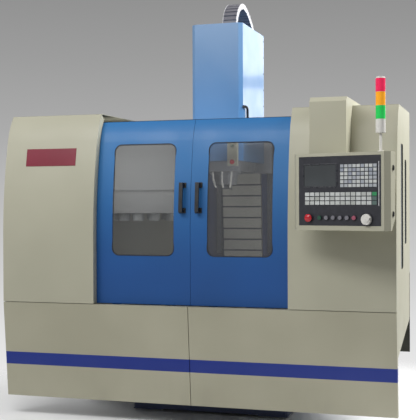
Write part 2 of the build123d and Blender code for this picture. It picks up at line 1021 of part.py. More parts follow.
# Ball screws
with BuildPart() as y_ball_screw:
    with BuildSketch(Plane.XZ.offset(-(base_front_y + end_wall + screw_end_gap))):
        with Locations((0, y_screw_z)):
            Circle(screw_radius)
    extrude(amount=-(y_screw_rear - base_front_y - end_wall - 2 * screw_end_gap))
    with BuildSketch(Plane.XZ.offset(-(base_front_y + screw_end_gap))):
        with Locations((0, y_screw_z)):
            Circle(journal_radius)
    extrude(amount=-(y_screw_rear - base_front_y + end_wall - 2 * screw_end_gap))
y_ball_screw.part.label = "y_ball_screw"
export_step(y_ball_screw.part, "parts/y_ball_screw.step")

with BuildPart() as x_ball_screw:
    with BuildSketch(Plane.YZ.offset(-wing_half + end_wall + screw_end_gap)):
        with Locations((0, x_screw_z)):
            Circle(screw_radius)
    extrude(amount=2 * (wing_half - end_wall - screw_end_gap))
    with BuildSketch(Plane.YZ.offset(-wing_half + screw_end_gap)):
        with Locations((0, x_screw_z)):
            Circle(journal_radius)
    extrude(amount=2 * (wing_half - screw_end_gap))
x_ball_screw.part.label = "x_ball_screw"
export_step(x_ball_screw.part, "parts/x_ball_screw.step")

with BuildPart() as z_ball_screw:
    with BuildSketch(Plane.XY.offset(ledge_top_z + screw_end_gap)):
        with Locations((0, z_screw_y)):
            Circle(screw_radius)
    extrude(amount=column_top_z - ledge_top_z - 2 * screw_end_gap)
    with BuildSketch(Plane.XY.offset(ledge_low_z + screw_end_gap)):
        with Locations((0, z_screw_y)):
            Circle(journal_radius)
    extrude(amount=column_top_z - ledge_low_z - screw_end_gap + coupling_length)
z_ball_screw.part.label = "z_ball_screw"
export_step(z_ball_screw.part, "parts/z_ball_screw.step")

# Servo motors: Y on the front of the base, Z on a plate over the column, X on the saddle
with BuildPart() as axis_motors:
    y_face = Plane(origin=(0, base_front_y, y_screw_z), x_dir=(1, 0, 0), z_dir=(0, -1, 0))
    add(servo_motor(y_face, servo_flange, y_servo_length))
    with BuildSketch(Plane.XY.offset(column_top_z)):
        with Locations((0, column_front_y)):
            Rectangle(
                servo_plate_width, recess_depth + servo_plate_lap, align=(Align.CENTER, Align.MIN)
            )
        with Locations((0, z_screw_y)):
            Circle(journal_radius + screw_clearance, mode=Mode.SUBTRACT)
    extrude(amount=servo_plate_height)
    z_face = Plane(origin=(0, z_screw_y, column_top_z + servo_plate_height), z_dir=(0, 0, 1))
    add(servo_motor(z_face, z_servo_flange, z_servo_length))
axis_motors.part.label = "axis_motors"
export_step(axis_motors.part, "parts/axis_motors.step")

with BuildPart() as x_motor:
    x_face = Plane(origin=(wing_half, 0, x_screw_z), x_dir=(0, 1, 0), z_dir=(1, 0, 0))
    add(servo_motor(x_face, servo_flange, x_servo_length))
x_motor.part.label = "x_motor"
export_step(x_motor.part, "parts/x_motor.step")

# Saddle: centre block with the Y carriages below, and wings that carry the X rails
channel_gap = (rail_width + 2 * running) / 2
with BuildPart() as saddle:
    block(
        (-saddle_half, saddle_front_y, saddle_low_z),
        (saddle_half, saddle_rear_y, saddle_top_z),
    )
    with BuildSketch(Plane.XZ.offset(wing_half_depth)):
        with BuildLine():
            Polyline(
                (-wing_half, saddle_top_z),
                (wing_half, saddle_top_z),
                (wing_half, wing_low_z),
                (saddle_half, saddle_low_z),
                (-saddle_half, saddle_low_z),
                (-wing_half, wing_low_z),
                close=True,
            )
        make_face()
    extrude(amount=-2 * wing_half_depth)
    block(
        (-wing_half + end_wall, -channel_half, x_channel_low_z),
        (wing_half - end_wall, channel_half, saddle_top_z),
        mode=Mode.SUBTRACT,
    )
    with BuildSketch(Plane.YZ.offset(-wing_half)):
        with Locations((0, x_screw_z)):
            Circle(journal_radius + screw_clearance)
    extrude(amount=2 * wing_half, mode=Mode.SUBTRACT)
    for side_x in (-y_rail_x, y_rail_x):
        for side_y in (-y_block_y, y_block_y):
            block(
                (side_x - block_width / 2, side_y - y_block_length / 2, base_top_z + block_lift),
                (side_x + block_width / 2, side_y + y_block_length / 2, saddle_low_z),
            )
            block(
                (side_x - channel_gap, side_y - y_block_length / 2, base_top_z + block_lift),
                (
                    side_x + channel_gap,
                    side_y + y_block_length / 2,
                    base_top_z + rail_height + running,
                ),
                mode=Mode.SUBTRACT,
            )
    # Nut bracket that reaches down to the Y screw
    block(
        (-nut_half, -nut_length / 2, y_screw_z - nut_drop),
        (nut_half, nut_length / 2, saddle_low_z),
    )
    with BuildSketch(Plane.XZ.offset(nut_length / 2)):
        with Locations((0, y_screw_z)):
            Circle(screw_radius + screw_clearance)
    extrude(amount=-nut_length, mode=Mode.SUBTRACT)
saddle.part.label = "saddle"
export_step(saddle.part, "parts/saddle.step")

with BuildPart() as x_rails:
    for side_y in (-x_rail_y, x_rail_y):
        x_seat = Plane(origin=(-wing_half, side_y, saddle_top_z), x_dir=(0, 1, 0), z_dir=(1, 0, 0))
        extrude(rail_profile(x_seat), amount=2 * wing_half)
x_rails.part.label = "x_rails"
export_step(x_rails.part, "parts/x_rails.step")

# Table: T-slots along X, carriages and the nut bracket of the X screw below
with BuildPart() as table:
    block(
        (-table_half, -table_half_depth, table_low_z),
        (table_half, table_half_depth, table_top_z),
    )
    chamfer(table.edges().filter_by(Axis.Z), table_corner)
    slot_depth = slot_neck_depth + slot_foot_depth
    with BuildSketch(Plane.YZ.offset(-table_half)):
        for index in range(slot_count):
            middle = (index - (slot_count - 1) / 2) * slot_pitch
            with Locations((middle, table_top_z)):
                Rectangle(slot_neck, slot_depth, align=(Align.CENTER, Align.MAX))
            with Locations((middle, table_top_z - slot_depth)):
                Rectangle(slot_foot, slot_foot_depth, align=(Align.CENTER, Align.MIN))
    extrude(amount=2 * table_half, mode=Mode.SUBTRACT)
    for side_x in (-x_block_x, x_block_x):
        for side_y in (-x_rail_y, x_rail_y):
            block(
                (side_x - x_block_length / 2, side_y - block_width / 2, saddle_top_z + block_lift),
                (side_x + x_block_length / 2, side_y + block_width / 2, table_low_z),
            )
            block(
                (side_x - x_block_length / 2, side_y - channel_gap, saddle_top_z + block_lift),
                (
                    side_x + x_block_length / 2,
                    side_y + channel_gap,
                    saddle_top_z + rail_height + running,
                ),
                mode=Mode.SUBTRACT,
            )
    block(
        (-nut_length / 2, -nut_half, x_screw_z - nut_drop),
        (nut_length / 2, nut_half, table_low_z),
    )
    with BuildSketch(Plane.YZ.offset(-nut_length / 2)):
        with Locations((0, x_screw_z)):
            Circle(screw_radius + screw_clearance)
    extrude(amount=nut_length, mode=Mode.SUBTRACT)
table.part.label = "table"
export_step(table.part, "parts/table.step")

# Headstock: casting with the spindle cartridge, and a back plate on the Z carriages
with BuildPart() as headstock:
    with BuildSketch(Plane.YZ.offset(-head_half)):
        with BuildLine():
            Polyline(
                (head_front_y, head_low_z),
                (head_front_y, head_top_z),
                (head_back_y, head_top_z),
                (head_back_y, head_low_z + head_cut_height),
                (head_back_y - head_cut_depth, head_low_z),
                close=True,
            )
        make_face()
    extrude(amount=2 * head_half)
    fillet(headstock.edges().filter_by(Axis.Z).group_by(Axis.Y)[0], head_corner)
    block(
        (-back_plate_half, head_back_y, back_plate_low_z),
        (back_plate_half, back_plate_y, back_plate_high_z),
    )
    for side_x in (-z_rail_x, z_rail_x):
        for low_z in (
            back_plate_low_z + carriage_inset,
            back_plate_high_z - carriage_inset - z_block_length,
        ):
            block(
                (side_x - block_width / 2, back_plate_y, low_z),
                (side_x + block_width / 2, column_front_y - block_lift, low_z + z_block_length),
            )
            block(
                (
                    side_x - channel_gap,
                    column_front_y - rail_height - running,
                    low_z,
                ),
                (side_x + channel_gap, column_front_y - block_lift, low_z + z_block_length),
                mode=Mode.SUBTRACT,
            )
    # Nut bracket that reaches into the column recess
    nut_low_z = back_plate_high_z - nut_inset - nut_length
    block(
        (-nut_half, back_plate_y, nut_low_z),
        (nut_half, z_screw_y + nut_drop, nut_low_z + nut_length),
    )
    with BuildSketch(Plane.XY.offset(nut_low_z)):
        with Locations((0, z_screw_y)):
            Circle(screw_radius + screw_clearance)
    extrude(amount=nut_length, mode=Mode.SUBTRACT)
    # Spindle cartridge with its flange, bored for the spindle
    with BuildSketch(Plane.XY.offset(head_low_z)):
        Circle(cartridge_flange)
    extrude(amount=-cartridge_flange_height)
    with BuildSketch(Plane.XY.offset(head_low_z - cartridge_flange_height)):
        Circle(cartridge_radius)
    extrude(
        amount=cartridge_low_z + cartridge_flange_height - head_low_z,
        taper=cartridge_taper,
    )
    with BuildSketch(Plane.XY.offset(cartridge_low_z)):
        Circle(shaft_radius + spindle_clearance)
    extrude(amount=head_top_z - cartridge_low_z, mode=Mode.SUBTRACT)
headstock.part.label = "headstock"
export_step(headstock.part, "parts/headstock.step")

# Spindle: nose with taper bore and drive keys, and the shaft up to the motor
with BuildPart() as spindle:
    with BuildSketch(Plane.XZ):
        with BuildLine():
            Polyline(
                (taper_mouth, nose_z),
                (nose_radius, nose_z),
                (nose_radius, cartridge_low_z - shoulder_gap),
                (shaft_radius, cartridge_low_z - shoulder_gap + shoulder_step),
                (shaft_radius, head_top_z - shoulder_gap),
                (0, head_top_z - shoulder_gap),
                (0, nose_z + taper_depth),
                (taper_end, nose_z + taper_depth),
                close=True,
            )
        make_face()
    revolve(axis=Axis.Z)
    block(
        (taper_mouth + key_inset, -key_width / 2, nose_z - key_height),
        (nose_radius - key_margin, key_width / 2, nose_z),
    )
    mirror(about=Plane.YZ)
spindle.part.label = "spindle"
export_step(spindle.part, "parts/spindle.step")

# Spindle motor on top of the headstock
with BuildPart() as spindle_motor:
    with BuildSketch(Plane.XY.offset(head_top_z)):
        RectangleRounded(motor_flange, motor_flange, motor_corner)
    extrude(amount=motor_flange_height)
    with BuildSketch(Plane.XY.offset(head_top_z + motor_flange_height)):
        Circle(motor_radius)
    extrude(amount=motor_height)
    with BuildSketch(Plane.XY.offset(head_top_z + motor_flange_height + motor_height)):
        Circle(motor_cap_radius)
    extrude(amount=motor_cap_height)
spindle_motor.part.label = "spindle_motor"
export_step(spindle_motor.part, "parts/spindle_motor.step")

# Head cover: a tall sheet housing with chamfered front corners, open below
with BuildPart() as head_cover:
    with BuildSketch(Plane.XY.offset(cover_low_z)):
        with BuildLine():
            Polyline(
                (-cover_half, cover_front_y + cover_chamfer),
                (-cover_half + cover_chamfer, cover_front_y),
                (cover_half - cover_chamfer, cover_front_y),
                (cover_half, cover_front_y + cover_chamfer),
                (cover_half, cover_rear_y),
                (-cover_half, cover_rear_y),
                close=True,
            )
        make_face()
    extrude(amount=cover_top_z - cover_low_z)
    offset(amount=-sheet, openings=head_cover.faces().sort_by(Axis.Z)[0])
    block(
        (-cover_half + sheet, cover_rear_y - sheet, cover_low_z),
        (cover_half - sheet, cover_rear_y, head_top_z + cover_rear_gap),
        mode=Mode.SUBTRACT,
    )
    # Flange at the foot that bolts to the casting
    with BuildSketch(Plane.XY.offset(cover_low_z)):
        with Locations((0, cover_front_y + sheet)):
            Rectangle(
                2 * (cover_half - cover_chamfer),
                head_front_y - cover_front_y - sheet,
                align=(Align.CENTER, Align.MIN),
            )
        for side in (-1, 1):
            with Locations((side * (head_half + cover_half - sheet) / 2, head_front_y)):
                Rectangle(
                    cover_half - sheet - head_half,
                    head_back_y - head_front_y - cover_flange_gap,
                    align=(Align.CENTER, Align.MIN),
                )
    extrude(amount=sheet)
head_cover.part.label = "head_cover"
export_step(head_cover.part, "parts/head_cover.step")

# Drag chain arch over the roof of the head cover
with BuildPart() as drag_chain:
    with BuildSketch(Plane.YZ.offset(chain_left)):
        with BuildLine():
            Spline(
                (chain_front_y, cover_top_z - chain_root),
                *[(chain_front_y + back, cover_top_z + share * chain_rise) for back, share in chain_arch],
                (chain_rear_y, cover_top_z - chain_root),
            )
        trace(line_width=chain_thickness)
    extrude(amount=chain_width)
    block(
        (chain_left, chain_front_y - chain_width, cover_top_z - chain_width),
        (chain_left + chain_width, chain_rear_y + chain_width, cover_top_z),
        mode=Mode.SUBTRACT,
    )
drag_chain.part.label = "drag_chain"
export_step(drag_chain.part, "parts/drag_chain.step")

# Switch box on the lower front of the head cover
with BuildPart() as head_switch_box:
    block(
        (switch_x, cover_front_y - switch_depth, switch_low_z),
        (switch_x + switch_width, cover_front_y, switch_high_z),
    )
    fillet(head_switch_box.edges().filter_by(Axis.Y), switch_corner)
head_switch_box.part.label = "head_switch_box"
export_step(head_switch_box.part, "parts/head_switch_box.step")

# Chip tray: a pan under the table, open around the base casting
tray_front_y = front_y + tray_front
with BuildPart() as chip_tray:
    with BuildSketch(Plane.XY.offset(tray_low_z)):
        with BuildLine():
            Polyline(
                (-tray_half, tray_front_y),
                (tray_half, tray_front_y),
                (tray_half, wing_rear_y - sheet),
                (rear_half, wing_rear_y - sheet),
                (rear_half, rear_y + sheet),
                (-rear_half, rear_y + sheet),
                (-rear_half, wing_rear_y - sheet),
                (-tray_half, wing_rear_y - sheet),
                close=True,
            )
        make_face()
    extrude(amount=tray_side_z - tray_low_z)
    offset(amount=-sheet, openings=chip_tray.faces().sort_by(Axis.Z)[-1])
    block(
        (-tray_half, tray_front_y, tray_side_z),
        (tray_half, tray_front_y + sheet, sill_low_z),
    )
    # Rim around the guide ways, which rests on the top of the base
    rim_half = base_half - tray_seat
    rim_front = base_front_y + tray_seat
    block(
        (-rim_half - sheet, rim_front - sheet, tray_low_z),
        (rim_half + sheet, rear_y + sheet, tray_low_z + tray_lip),
    )
    block(
        (-rim_half, rim_front, tray_low_z),
        (rim_half, rear_y + sheet, tray_side_z),
        mode=Mode.SUBTRACT,
    )
    # Spout over the coolant tank
    spout_low_z = tank_high_z - spout_dip
    with BuildSketch(Plane.XY.offset(spout_low_z)):
        with Locations((spout_x, spout_y)):
            Rectangle(spout_size, spout_size)
    extrude(amount=tray_low_z + sheet - spout_low_z)
    with BuildSketch(Plane.XY.offset(spout_low_z)):
        with Locations((spout_x, spout_y)):
            Rectangle(spout_size - 2 * sheet, spout_size - 2 * sheet)
    extrude(amount=tray_low_z + sheet - spout_low_z, mode=Mode.SUBTRACT)
chip_tray.part.label = "chip_tray"
export_step(chip_tray.part, "parts/chip_tray.step")

# Coolant tank beside the base, with its lid, pump and runners
tank_left = tank_inset - tray_half
tank_right = -flange_half - tank_gap
with BuildPart() as coolant_tank:
    block((tank_left, tank_front_y, tank_low_z), (tank_right, tank_rear_y, tank_high_z))
    block(
        (tank_left + sheet, tank_front_y + sheet, tank_low_z + sheet),
        (tank_right - sheet, tank_rear_y - sheet, tank_high_z - sheet),
        mode=Mode.SUBTRACT,
    )
    with BuildSketch(Plane.XY.offset(tank_high_z - sheet)):
        with Locations((spout_x, spout_y)):
            RectangleRounded(lid_opening, lid_opening, lid_corner)
    extrude(amount=sheet, mode=Mode.SUBTRACT)
    for side_x in (tank_left + runner_width, tank_right - 2 * runner_width):
        block(
            (side_x, tank_front_y + runner_inset, 0),
            (side_x + runner_width, tank_rear_y - runner_inset, tank_low_z),
        )
    pump_x = (tank_left + tank_right) / 2 - pump_left
    pump_y = tank_rear_y - pump_inset
    with BuildSketch(Plane.XY.offset(tank_high_z)):
        with Locations((pump_x, pump_y)):
            Circle(pump_flange_radius)
    extrude(amount=pump_flange_height)
    with BuildSketch(Plane.XY.offset(tank_high_z + pump_flange_height)):
        with Locations((pump_x, pump_y)):
            Circle(pump_radius)
    extrude(amount=pump_height)
coolant_tank.part.label = "coolant_tank"
export_step(coolant_tank.part, "parts/coolant_tank.step")

# Magazine frame: a plate on the flank of the column, a forward arm and a cross beam with a rail
mag_rail_z = (beam_low_z + beam_high_z) / 2
with BuildPart() as magazine_frame:
    block(
        (-column_half - arm_plate, beam_front_y, beam_low_z),
        (-column_half, rear_y - joint_gap, beam_high_z),
    )
    block((beam_left_x, beam_front_y, beam_low_z), (-column_half, beam_rear_y, beam_high_z))
    block(
        (beam_left_x, beam_front_y - mag_rail_depth, mag_rail_z - mag_rail_half),
        (-column_half, beam_front_y, mag_rail_z + mag_rail_half),
    )
magazine_frame.part.label = "magazine_frame"
export_step(magazine_frame.part, "parts/magazine_frame.step")

# Magazine carriage: a shoe on the rail, and a bracket with the drum shaft
with BuildPart() as magazine_carriage:
    block(
        (drum_x - shoe_half, beam_front_y - shoe_depth, beam_low_z),
        (drum_x + shoe_half, beam_front_y - shoe_gap, beam_high_z),
    )
    block(
        (
            drum_x - shoe_half,
            beam_front_y - mag_rail_depth - running,
            mag_rail_z - mag_rail_half - running,
        ),
        (drum_x + shoe_half, beam_front_y, mag_rail_z + mag_rail_half + running),
        mode=Mode.SUBTRACT,
    )
    block(
        (drum_x - bracket_half, bracket_front_y, beam_low_z),
        (drum_x + bracket_half, beam_front_y - shoe_depth, beam_low_z + bracket_height),
    )
    with BuildSketch(Plane.XY.offset(beam_low_z + bracket_height)):
        with Locations((drum_x, 0)):
            Circle(drum_motor_radius)
    extrude(amount=drum_motor_height)
    with BuildSketch(Plane.XY.offset(disc_low_z + shoe_gap)):
        with Locations((drum_x, 0)):
            Circle(drum_shaft)
    extrude(amount=beam_low_z - disc_low_z - shoe_gap)
magazine_carriage.part.label = "magazine_carriage"
export_step(magazine_carriage.part, "parts/magazine_carriage.step")

# Tool drum: disc with a hub and a ring of open pots
with BuildPart() as tool_drum:
    with BuildSketch(Plane.XY.offset(disc_low_z)):
        with Locations((drum_x, 0)):
            Circle(pot_circle + pot_radius + disc_rim)
    extrude(amount=disc_high_z - disc_low_z)
    with BuildSketch(Plane.XY.offset(disc_high_z)):
        with Locations((drum_x, 0)):
            Circle(hub_radius)
    extrude(amount=hub_high_z - disc_high_z, taper=hub_taper)
    with BuildSketch(Plane.XY.offset(pot_low_z)):
        with Locations((drum_x, 0)):
            with PolarLocations(pot_circle, pot_count):
                Circle(pot_radius)
    extrude(amount=disc_low_z - pot_low_z)
    with BuildSketch(Plane.XY.offset(pot_low_z)):
        with Locations((drum_x, 0)):
            with PolarLocations(pot_circle, pot_count):
                Circle(pot_bore)
    extrude(amount=disc_high_z - pot_low_z, mode=Mode.SUBTRACT)
    with BuildSketch(Plane.XY.offset(disc_low_z)):
        with Locations((drum_x, 0)):
            Circle(drum_shaft + screw_clearance)
    extrude(amount=hub_high_z - disc_low_z, mode=Mode.SUBTRACT)
tool_drum.part.label = "tool_drum"
export_step(tool_drum.part, "parts/tool_drum.step")

# Work light behind the header beam
light_half = 280.0
light_z = 1935.0
light_radius = 26.0
light_y = front_y + header_back + light_radius + 14
light_bracket = 30.0
with BuildPart() as work_light:
    with BuildSketch(Plane.YZ.offset(-light_half)):
        with Locations((light_y, light_z)):
            Circle(light_radius)
    extrude(amount=2 * light_half)
    for bracket_x in (-light_half + light_bracket, light_half - 2 * light_bracket):
        block(
            (bracket_x, front_y + header_back, light_z - light_bracket / 2),
            (bracket_x + light_bracket, light_y, light_z + light_bracket / 2),
        )
work_light.part.label = "work_light"
export_step(work_light.part, "parts/work_light.step")

# Electrical cabinet behind the column, with a mounting plate and drive units inside
door_face_y = cabinet_rear_y + cabinet_door_gap
hinge_x = -cabinet_half - hinge_radius
hinge_y = door_face_y + hinge_radius
hinge_places = (cabinet_low_z + hinge_inset, cabinet_high_z - hinge_inset - 2 * hinge_length)
with BuildPart() as electrical_cabinet:
    block(
        (-cabinet_half, cabinet_front_y, cabinet_low_z),
        (cabinet_half, cabinet_rear_y, cabinet_high_z),
    )
    offset(amount=-sheet, openings=electrical_cabinet.faces().sort_by(Axis.Y)[-1])
    with BuildSketch(Plane.XZ.offset(-(cabinet_front_y + sheet))):
        for row_z in drive_rows:
            with Locations((0, row_z)):
                with GridLocations(drive_pitch, 1, drive_count, 1):
                    Rectangle(drive_width, drive_height)
        with Locations((0, supply_z)):
            Rectangle(supply_width, supply_height)
    extrude(amount=-drive_depth)
    # Fixed halves of the hinges, on the flank
    for low_z in hinge_places:
        with BuildSketch(Plane.XY.offset(low_z + hinge_length + joint_gap)):
            with Locations((hinge_x, hinge_y)):
                Circle(hinge_radius)
                Rectangle(hinge_radius, 2 * hinge_radius + 4, align=(Align.CENTER, Align.MAX))
            with Locations((hinge_x - hinge_radius, cabinet_rear_y - 2)):
                Rectangle(hinge_radius + 10, 48, align=(Align.MIN, Align.MAX))
        extrude(amount=hinge_length)
electrical_cabinet.part.label = "electrical_cabinet"
export_step(electrical_cabinet.part, "parts/electrical_cabinet.step")

with BuildPart() as cabinet_door:
    block(
        (-cabinet_half, door_face_y, cabinet_low_z),
        (cabinet_half, door_face_y + cabinet_door_thickness, cabinet_high_z),
    )
    fillet(cabinet_door.edges().filter_by(Axis.Z).group_by(Axis.Y)[-1], door_corner)
    for low_z in hinge_places:
        with BuildSketch(Plane.XY.offset(low_z)):
            with Locations((hinge_x, hinge_y)):
                Circle(hinge_radius)
                Rectangle(hinge_radius + 2, hinge_leaf, align=(Align.MIN, Align.CENTER))
        extrude(amount=hinge_length)
    switch_face = Plane(
        origin=(switch_knob_x, door_face_y + cabinet_door_thickness, switch_knob_z),
        x_dir=(-1, 0, 0),
        z_dir=(0, 1, 0),
    )
    with BuildSketch(switch_face):
        RectangleRounded(switch_plate, switch_plate, switch_plate_corner)
    extrude(amount=switch_plate_height)
    with BuildSketch(switch_face.offset(-cabinet_door_thickness / 2)):
        Circle(switch_shaft + running)
    extrude(amount=cabinet_door_thickness / 2 + switch_plate_height, mode=Mode.SUBTRACT)
cabinet_door.part.label = "cabinet_door"
export_step(cabinet_door.part, "parts/cabinet_door.step")

with BuildPart() as main_switch:
    dial_face = switch_face.offset(switch_plate_height + running)
    with BuildSketch(dial_face):
        Circle(switch_dial)
    extrude(amount=switch_dial_height)
    with BuildSketch(dial_face.offset(switch_dial_height)):
        RectangleRounded(*switch_grip, switch_grip_corner)
    extrude(amount=switch_grip_height)
    with BuildSketch(switch_face.offset(-cabinet_door_thickness / 2 + running)):
        Circle(switch_shaft)
    extrude(amount=cabinet_door_thickness / 2 + switch_plate_height)
main_switch.part.label = "main_switch"
export_step(main_switch.part, "parts/main_switch.step")

# Pendant arm: a duct down the front of the right panel and back over the roof
def arm_profile(x, inset, low_z, reach):
    """Side profile of the arm, drawn in on all sides, down to low_z and back to reach."""
    gap = duct_gap + inset
    low_angle = degrees(asin((low_z - upright_z) / lean_radius))
    high_angle = crown_angle_at(roof_z + gap, -gap)
    with BuildSketch(Plane.YZ.offset(x), mode=Mode.PRIVATE) as profile:
        with BuildLine():
            lean = CenterArc(
                (front_y + lean_radius, upright_z),
                lean_radius + gap,
                180 - low_angle,
                low_angle - lean_angle,
            )
            crown = CenterArc(
                (crown_y, crown_z), crown_radius + gap, 180 - lean_angle, lean_angle - high_angle
            )
            Polyline(
                crown @ 1,
                (front_y + reach, roof_z + gap),
                (front_y + reach, arm_top_z - inset),
                (front_y - arm_proud + arm_corner, arm_top_z - inset),
                (front_y - arm_proud + inset, arm_top_z - arm_corner),
                (front_y - arm_proud + inset, low_z),
                lean @ 0,
            )
        make_face()
    return profile.sketch


with BuildPart() as arm_core:
    core = arm_profile(arm_left + sheet, sheet, arm_low_z + sheet, arm_reach - sheet)
    extrude(core, amount=arm_right - arm_left - 2 * sheet)

arm_front_y = front_y - arm_proud
knuckle_low_z = arm_low_z + 40
knuckle_high_z = arm_low_z + 170
with BuildPart() as pendant_arm:
    extrude(arm_profile(arm_left, 0, arm_low_z, arm_reach), amount=arm_right - arm_left)
    add(arm_core.part, mode=Mode.SUBTRACT)
    # Cable entry in the foot
    with BuildSketch(Plane.XY.offset(arm_low_z - sheet)):
        with Locations(((arm_left + arm_right) / 2, front_y - arm_proud / 2)):
            Circle(cable_entry)
    extrude(amount=3 * sheet, mode=Mode.SUBTRACT)
    for low_z in (knuckle_low_z, knuckle_high_z):
        with BuildSketch(Plane.XY.offset(low_z)):
            with Locations((pivot_x, pivot_y)):
                Circle(pivot_radius)
                Rectangle(2 * pivot_radius, arm_front_y - pivot_y, align=(Align.CENTER, Align.MIN))
            with Locations((pivot_x, pivot_y)):
                Circle(pin_radius + screw_clearance, mode=Mode.SUBTRACT)
        extrude(amount=knuckle_height)
pendant_arm.part.label = "pendant_arm"
export_step(pendant_arm.part, "parts/pendant_arm.step")

# Pendant, turned about its pivot towards the doors. U runs across its face, W runs to its rear.
yaw = radians(pendant_yaw)
across = (cos(yaw), -sin(yaw), 0)
outward = (-sin(yaw), -cos(yaw), 0)
pendant_face = Plane(origin=(pendant_x, pendant_y, 0), x_dir=across, z_dir=outward)
pivot_u = (pivot_x - pendant_x) * cos(yaw) - (pivot_y - pendant_y) * sin(yaw)
pivot_w = (pivot_x - pendant_x) * sin(yaw) + (pivot_y - pendant_y) * cos(yaw)
pendant_middle_z = (pendant_low_z + pendant_high_z) / 2
pendant_height = pendant_high_z - pendant_low_z
panel_left = -pendant_half + bezel_side
panel_right = pendant_half - bezel_side
panel_low_z = pendant_low_z + bezel_low
panel_high_z = pendant_high_z - bezel_top


def plan_plane(z):
    """Horizontal plane at height z, with x along the pendant's face and y to its rear."""
    return Plane(origin=(pendant_x, pendant_y, z), x_dir=across, z_dir=(0, 0, 1))


def pendant_body(inset):
    """Pendant's outline as a solid, drawn in on all sides: cut corners, cut lower rear edge."""
    rear = Vector(-outward[0], -outward[1], 0)
    corner = plan_plane(pendant_low_z).from_local_coords((0, pendant_depth - rear_cut_w, 0))
    cut_normal = rear * rear_cut_z + Vector(0, 0, -rear_cut_w)
    with BuildPart(mode=Mode.PRIVATE) as body:
        with BuildSketch(plan_plane(pendant_low_z + inset)):
            with BuildLine():
                Polyline(
                    (-pendant_half, 0),
                    (pendant_half, 0),
                    (pendant_half + pendant_chamfer, pendant_chamfer),
                    (pendant_half + pendant_chamfer, pendant_depth),
                    (-pendant_half - pendant_chamfer, pendant_depth),
                    (-pendant_half - pendant_chamfer, pendant_chamfer),
                    close=True,
                )
            make_face()
            if inset:
                offset(amount=-inset, kind=Kind.INTERSECTION)
        extrude(amount=pendant_height - 2 * inset)
        rear_plane = Plane(origin=corner, z_dir=cut_normal).offset(-inset)
        split(bisect_by=rear_plane, keep=Keep.BOTTOM)
    return body.part


def face_holes(radius, places, depth):
    """Round holes through the pendant's face, from in front of it to depth behind it."""
    with BuildSketch(pendant_face.offset(bezel_lip)) as holes:
        with Locations(places):
            Circle(radius)
    extrude(holes.sketch, amount=-bezel_lip - depth, mode=Mode.SUBTRACT)


def rectangle_on_face(left, right, low_z, high_z, inset=0.0, radius=0.0, mode=Mode.ADD):
    """Rectangle between two places across and two heights, in the sketch being drawn."""
    width_u = right - left - 2 * inset
    height_z = high_z - low_z - 2 * inset
    with Locations(((left + right) / 2, (low_z + high_z) / 2)):
        if radius:
            RectangleRounded(width_u, height_z, radius, mode=mode)
        else:
            Rectangle(width_u, height_z, mode=mode)


button_places = [(button_u + index * button_pitch, button_z) for index in range(button_count)]
with BuildPart() as pendant_housing:
    add(pendant_body(0))
    add(pendant_body(sheet), mode=Mode.SUBTRACT)
    # Raised rim around the control panel
    with BuildSketch(pendant_face):
        rectangle_on_face(-pendant_half, pendant_half, pendant_low_z, pendant_high_z)
        rectangle_on_face(panel_left, panel_right, panel_low_z, panel_high_z, mode=Mode.SUBTRACT)
    extrude(amount=bezel_lip)
    with BuildSketch(pendant_face):
        rectangle_on_face(screen_left, screen_right, screen_low_z, screen_high_z)
    extrude(amount=-sheet, mode=Mode.SUBTRACT)
    face_holes(button_stem + joint_gap, button_places, sheet)
    face_holes(stop_stem + joint_gap, [(stop_u, stop_z)], sheet)
    face_holes(wheel_shaft + joint_gap, [(wheel_u, wheel_z)], sheet)
    # Socket for the mast of the signal light
    with BuildSketch(plan_plane(pendant_high_z - sheet)):
        with Locations((mast_u, mast_w)):
            Circle(mast_radius)
    extrude(amount=sheet, mode=Mode.SUBTRACT)
    # Pivot: a web on the rear wall, a knuckle and its pin
    web_low_z = knuckle_low_z + knuckle_height + running
    web_high_z = knuckle_high_z - running
    with BuildSketch(plan_plane(web_low_z)):
        with Locations((pivot_u, pivot_w)):
            Circle(pivot_radius)
            Rectangle(
                2 * pivot_radius, pivot_w - pendant_depth + sheet / 2, align=(Align.CENTER, Align.MAX)
            )
    extrude(amount=web_high_z - web_low_z)
    with BuildSketch(plan_plane(knuckle_low_z)):
        with Locations((pivot_u, pivot_w)):
            Circle(pin_radius)
    extrude(amount=knuckle_high_z + knuckle_height - knuckle_low_z)
    # Cable entry beside the pivot
    with BuildSketch(pendant_face.offset(-pendant_depth + 2 * sheet)):
        with Locations((pivot_u + 90, pendant_middle_z + 80)):
            Circle(cable_entry)
    extrude(amount=-3 * sheet, mode=Mode.SUBTRACT)
pendant_housing.part.label = "pendant_housing"
export_step(pendant_housing.part, "parts/pendant_housing.step")

# Control panel: a plate in the rim, with collars around the controls and a window for the screen
with BuildPart() as control_panel:
    with BuildSketch(pendant_face):
        rectangle_on_face(panel_left, panel_right, panel_low_z, panel_high_z, joint_gap, 3)
        rectangle_on_face(screen_left, screen_right, screen_low_z, screen_high_z, mode=Mode.SUBTRACT)
    extrude(amount=face_plate)
    with BuildSketch(pendant_face.offset(face_plate)):
        with Locations(button_places):
            Circle(collar_radius)
        with Locations((stop_u, stop_z)):
            Circle(stop_radius + 4)
        with Locations((wheel_u, wheel_z)):
            Circle(wheel_radius + 5)
    extrude(amount=collar_height)
    with BuildSketch(pendant_face.offset(face_plate)):
        with Locations(button_places):
            Circle(button_radius + running)
        with Locations((stop_u, stop_z)):
            Circle(stop_radius - 6)
    extrude(amount=collar_height, mode=Mode.SUBTRACT)
    with BuildSketch(pendant_face):
        with Locations(button_places):
            Circle(button_stem + screw_clearance)
        with Locations((stop_u, stop_z)):
            Circle(stop_stem + screw_clearance)
        with Locations((wheel_u, wheel_z)):
            Circle(wheel_shaft + screw_clearance)
    extrude(amount=face_plate + collar_height, mode=Mode.SUBTRACT)
control_panel.part.label = "control_panel"
export_step(control_panel.part, "parts/control_panel.step")

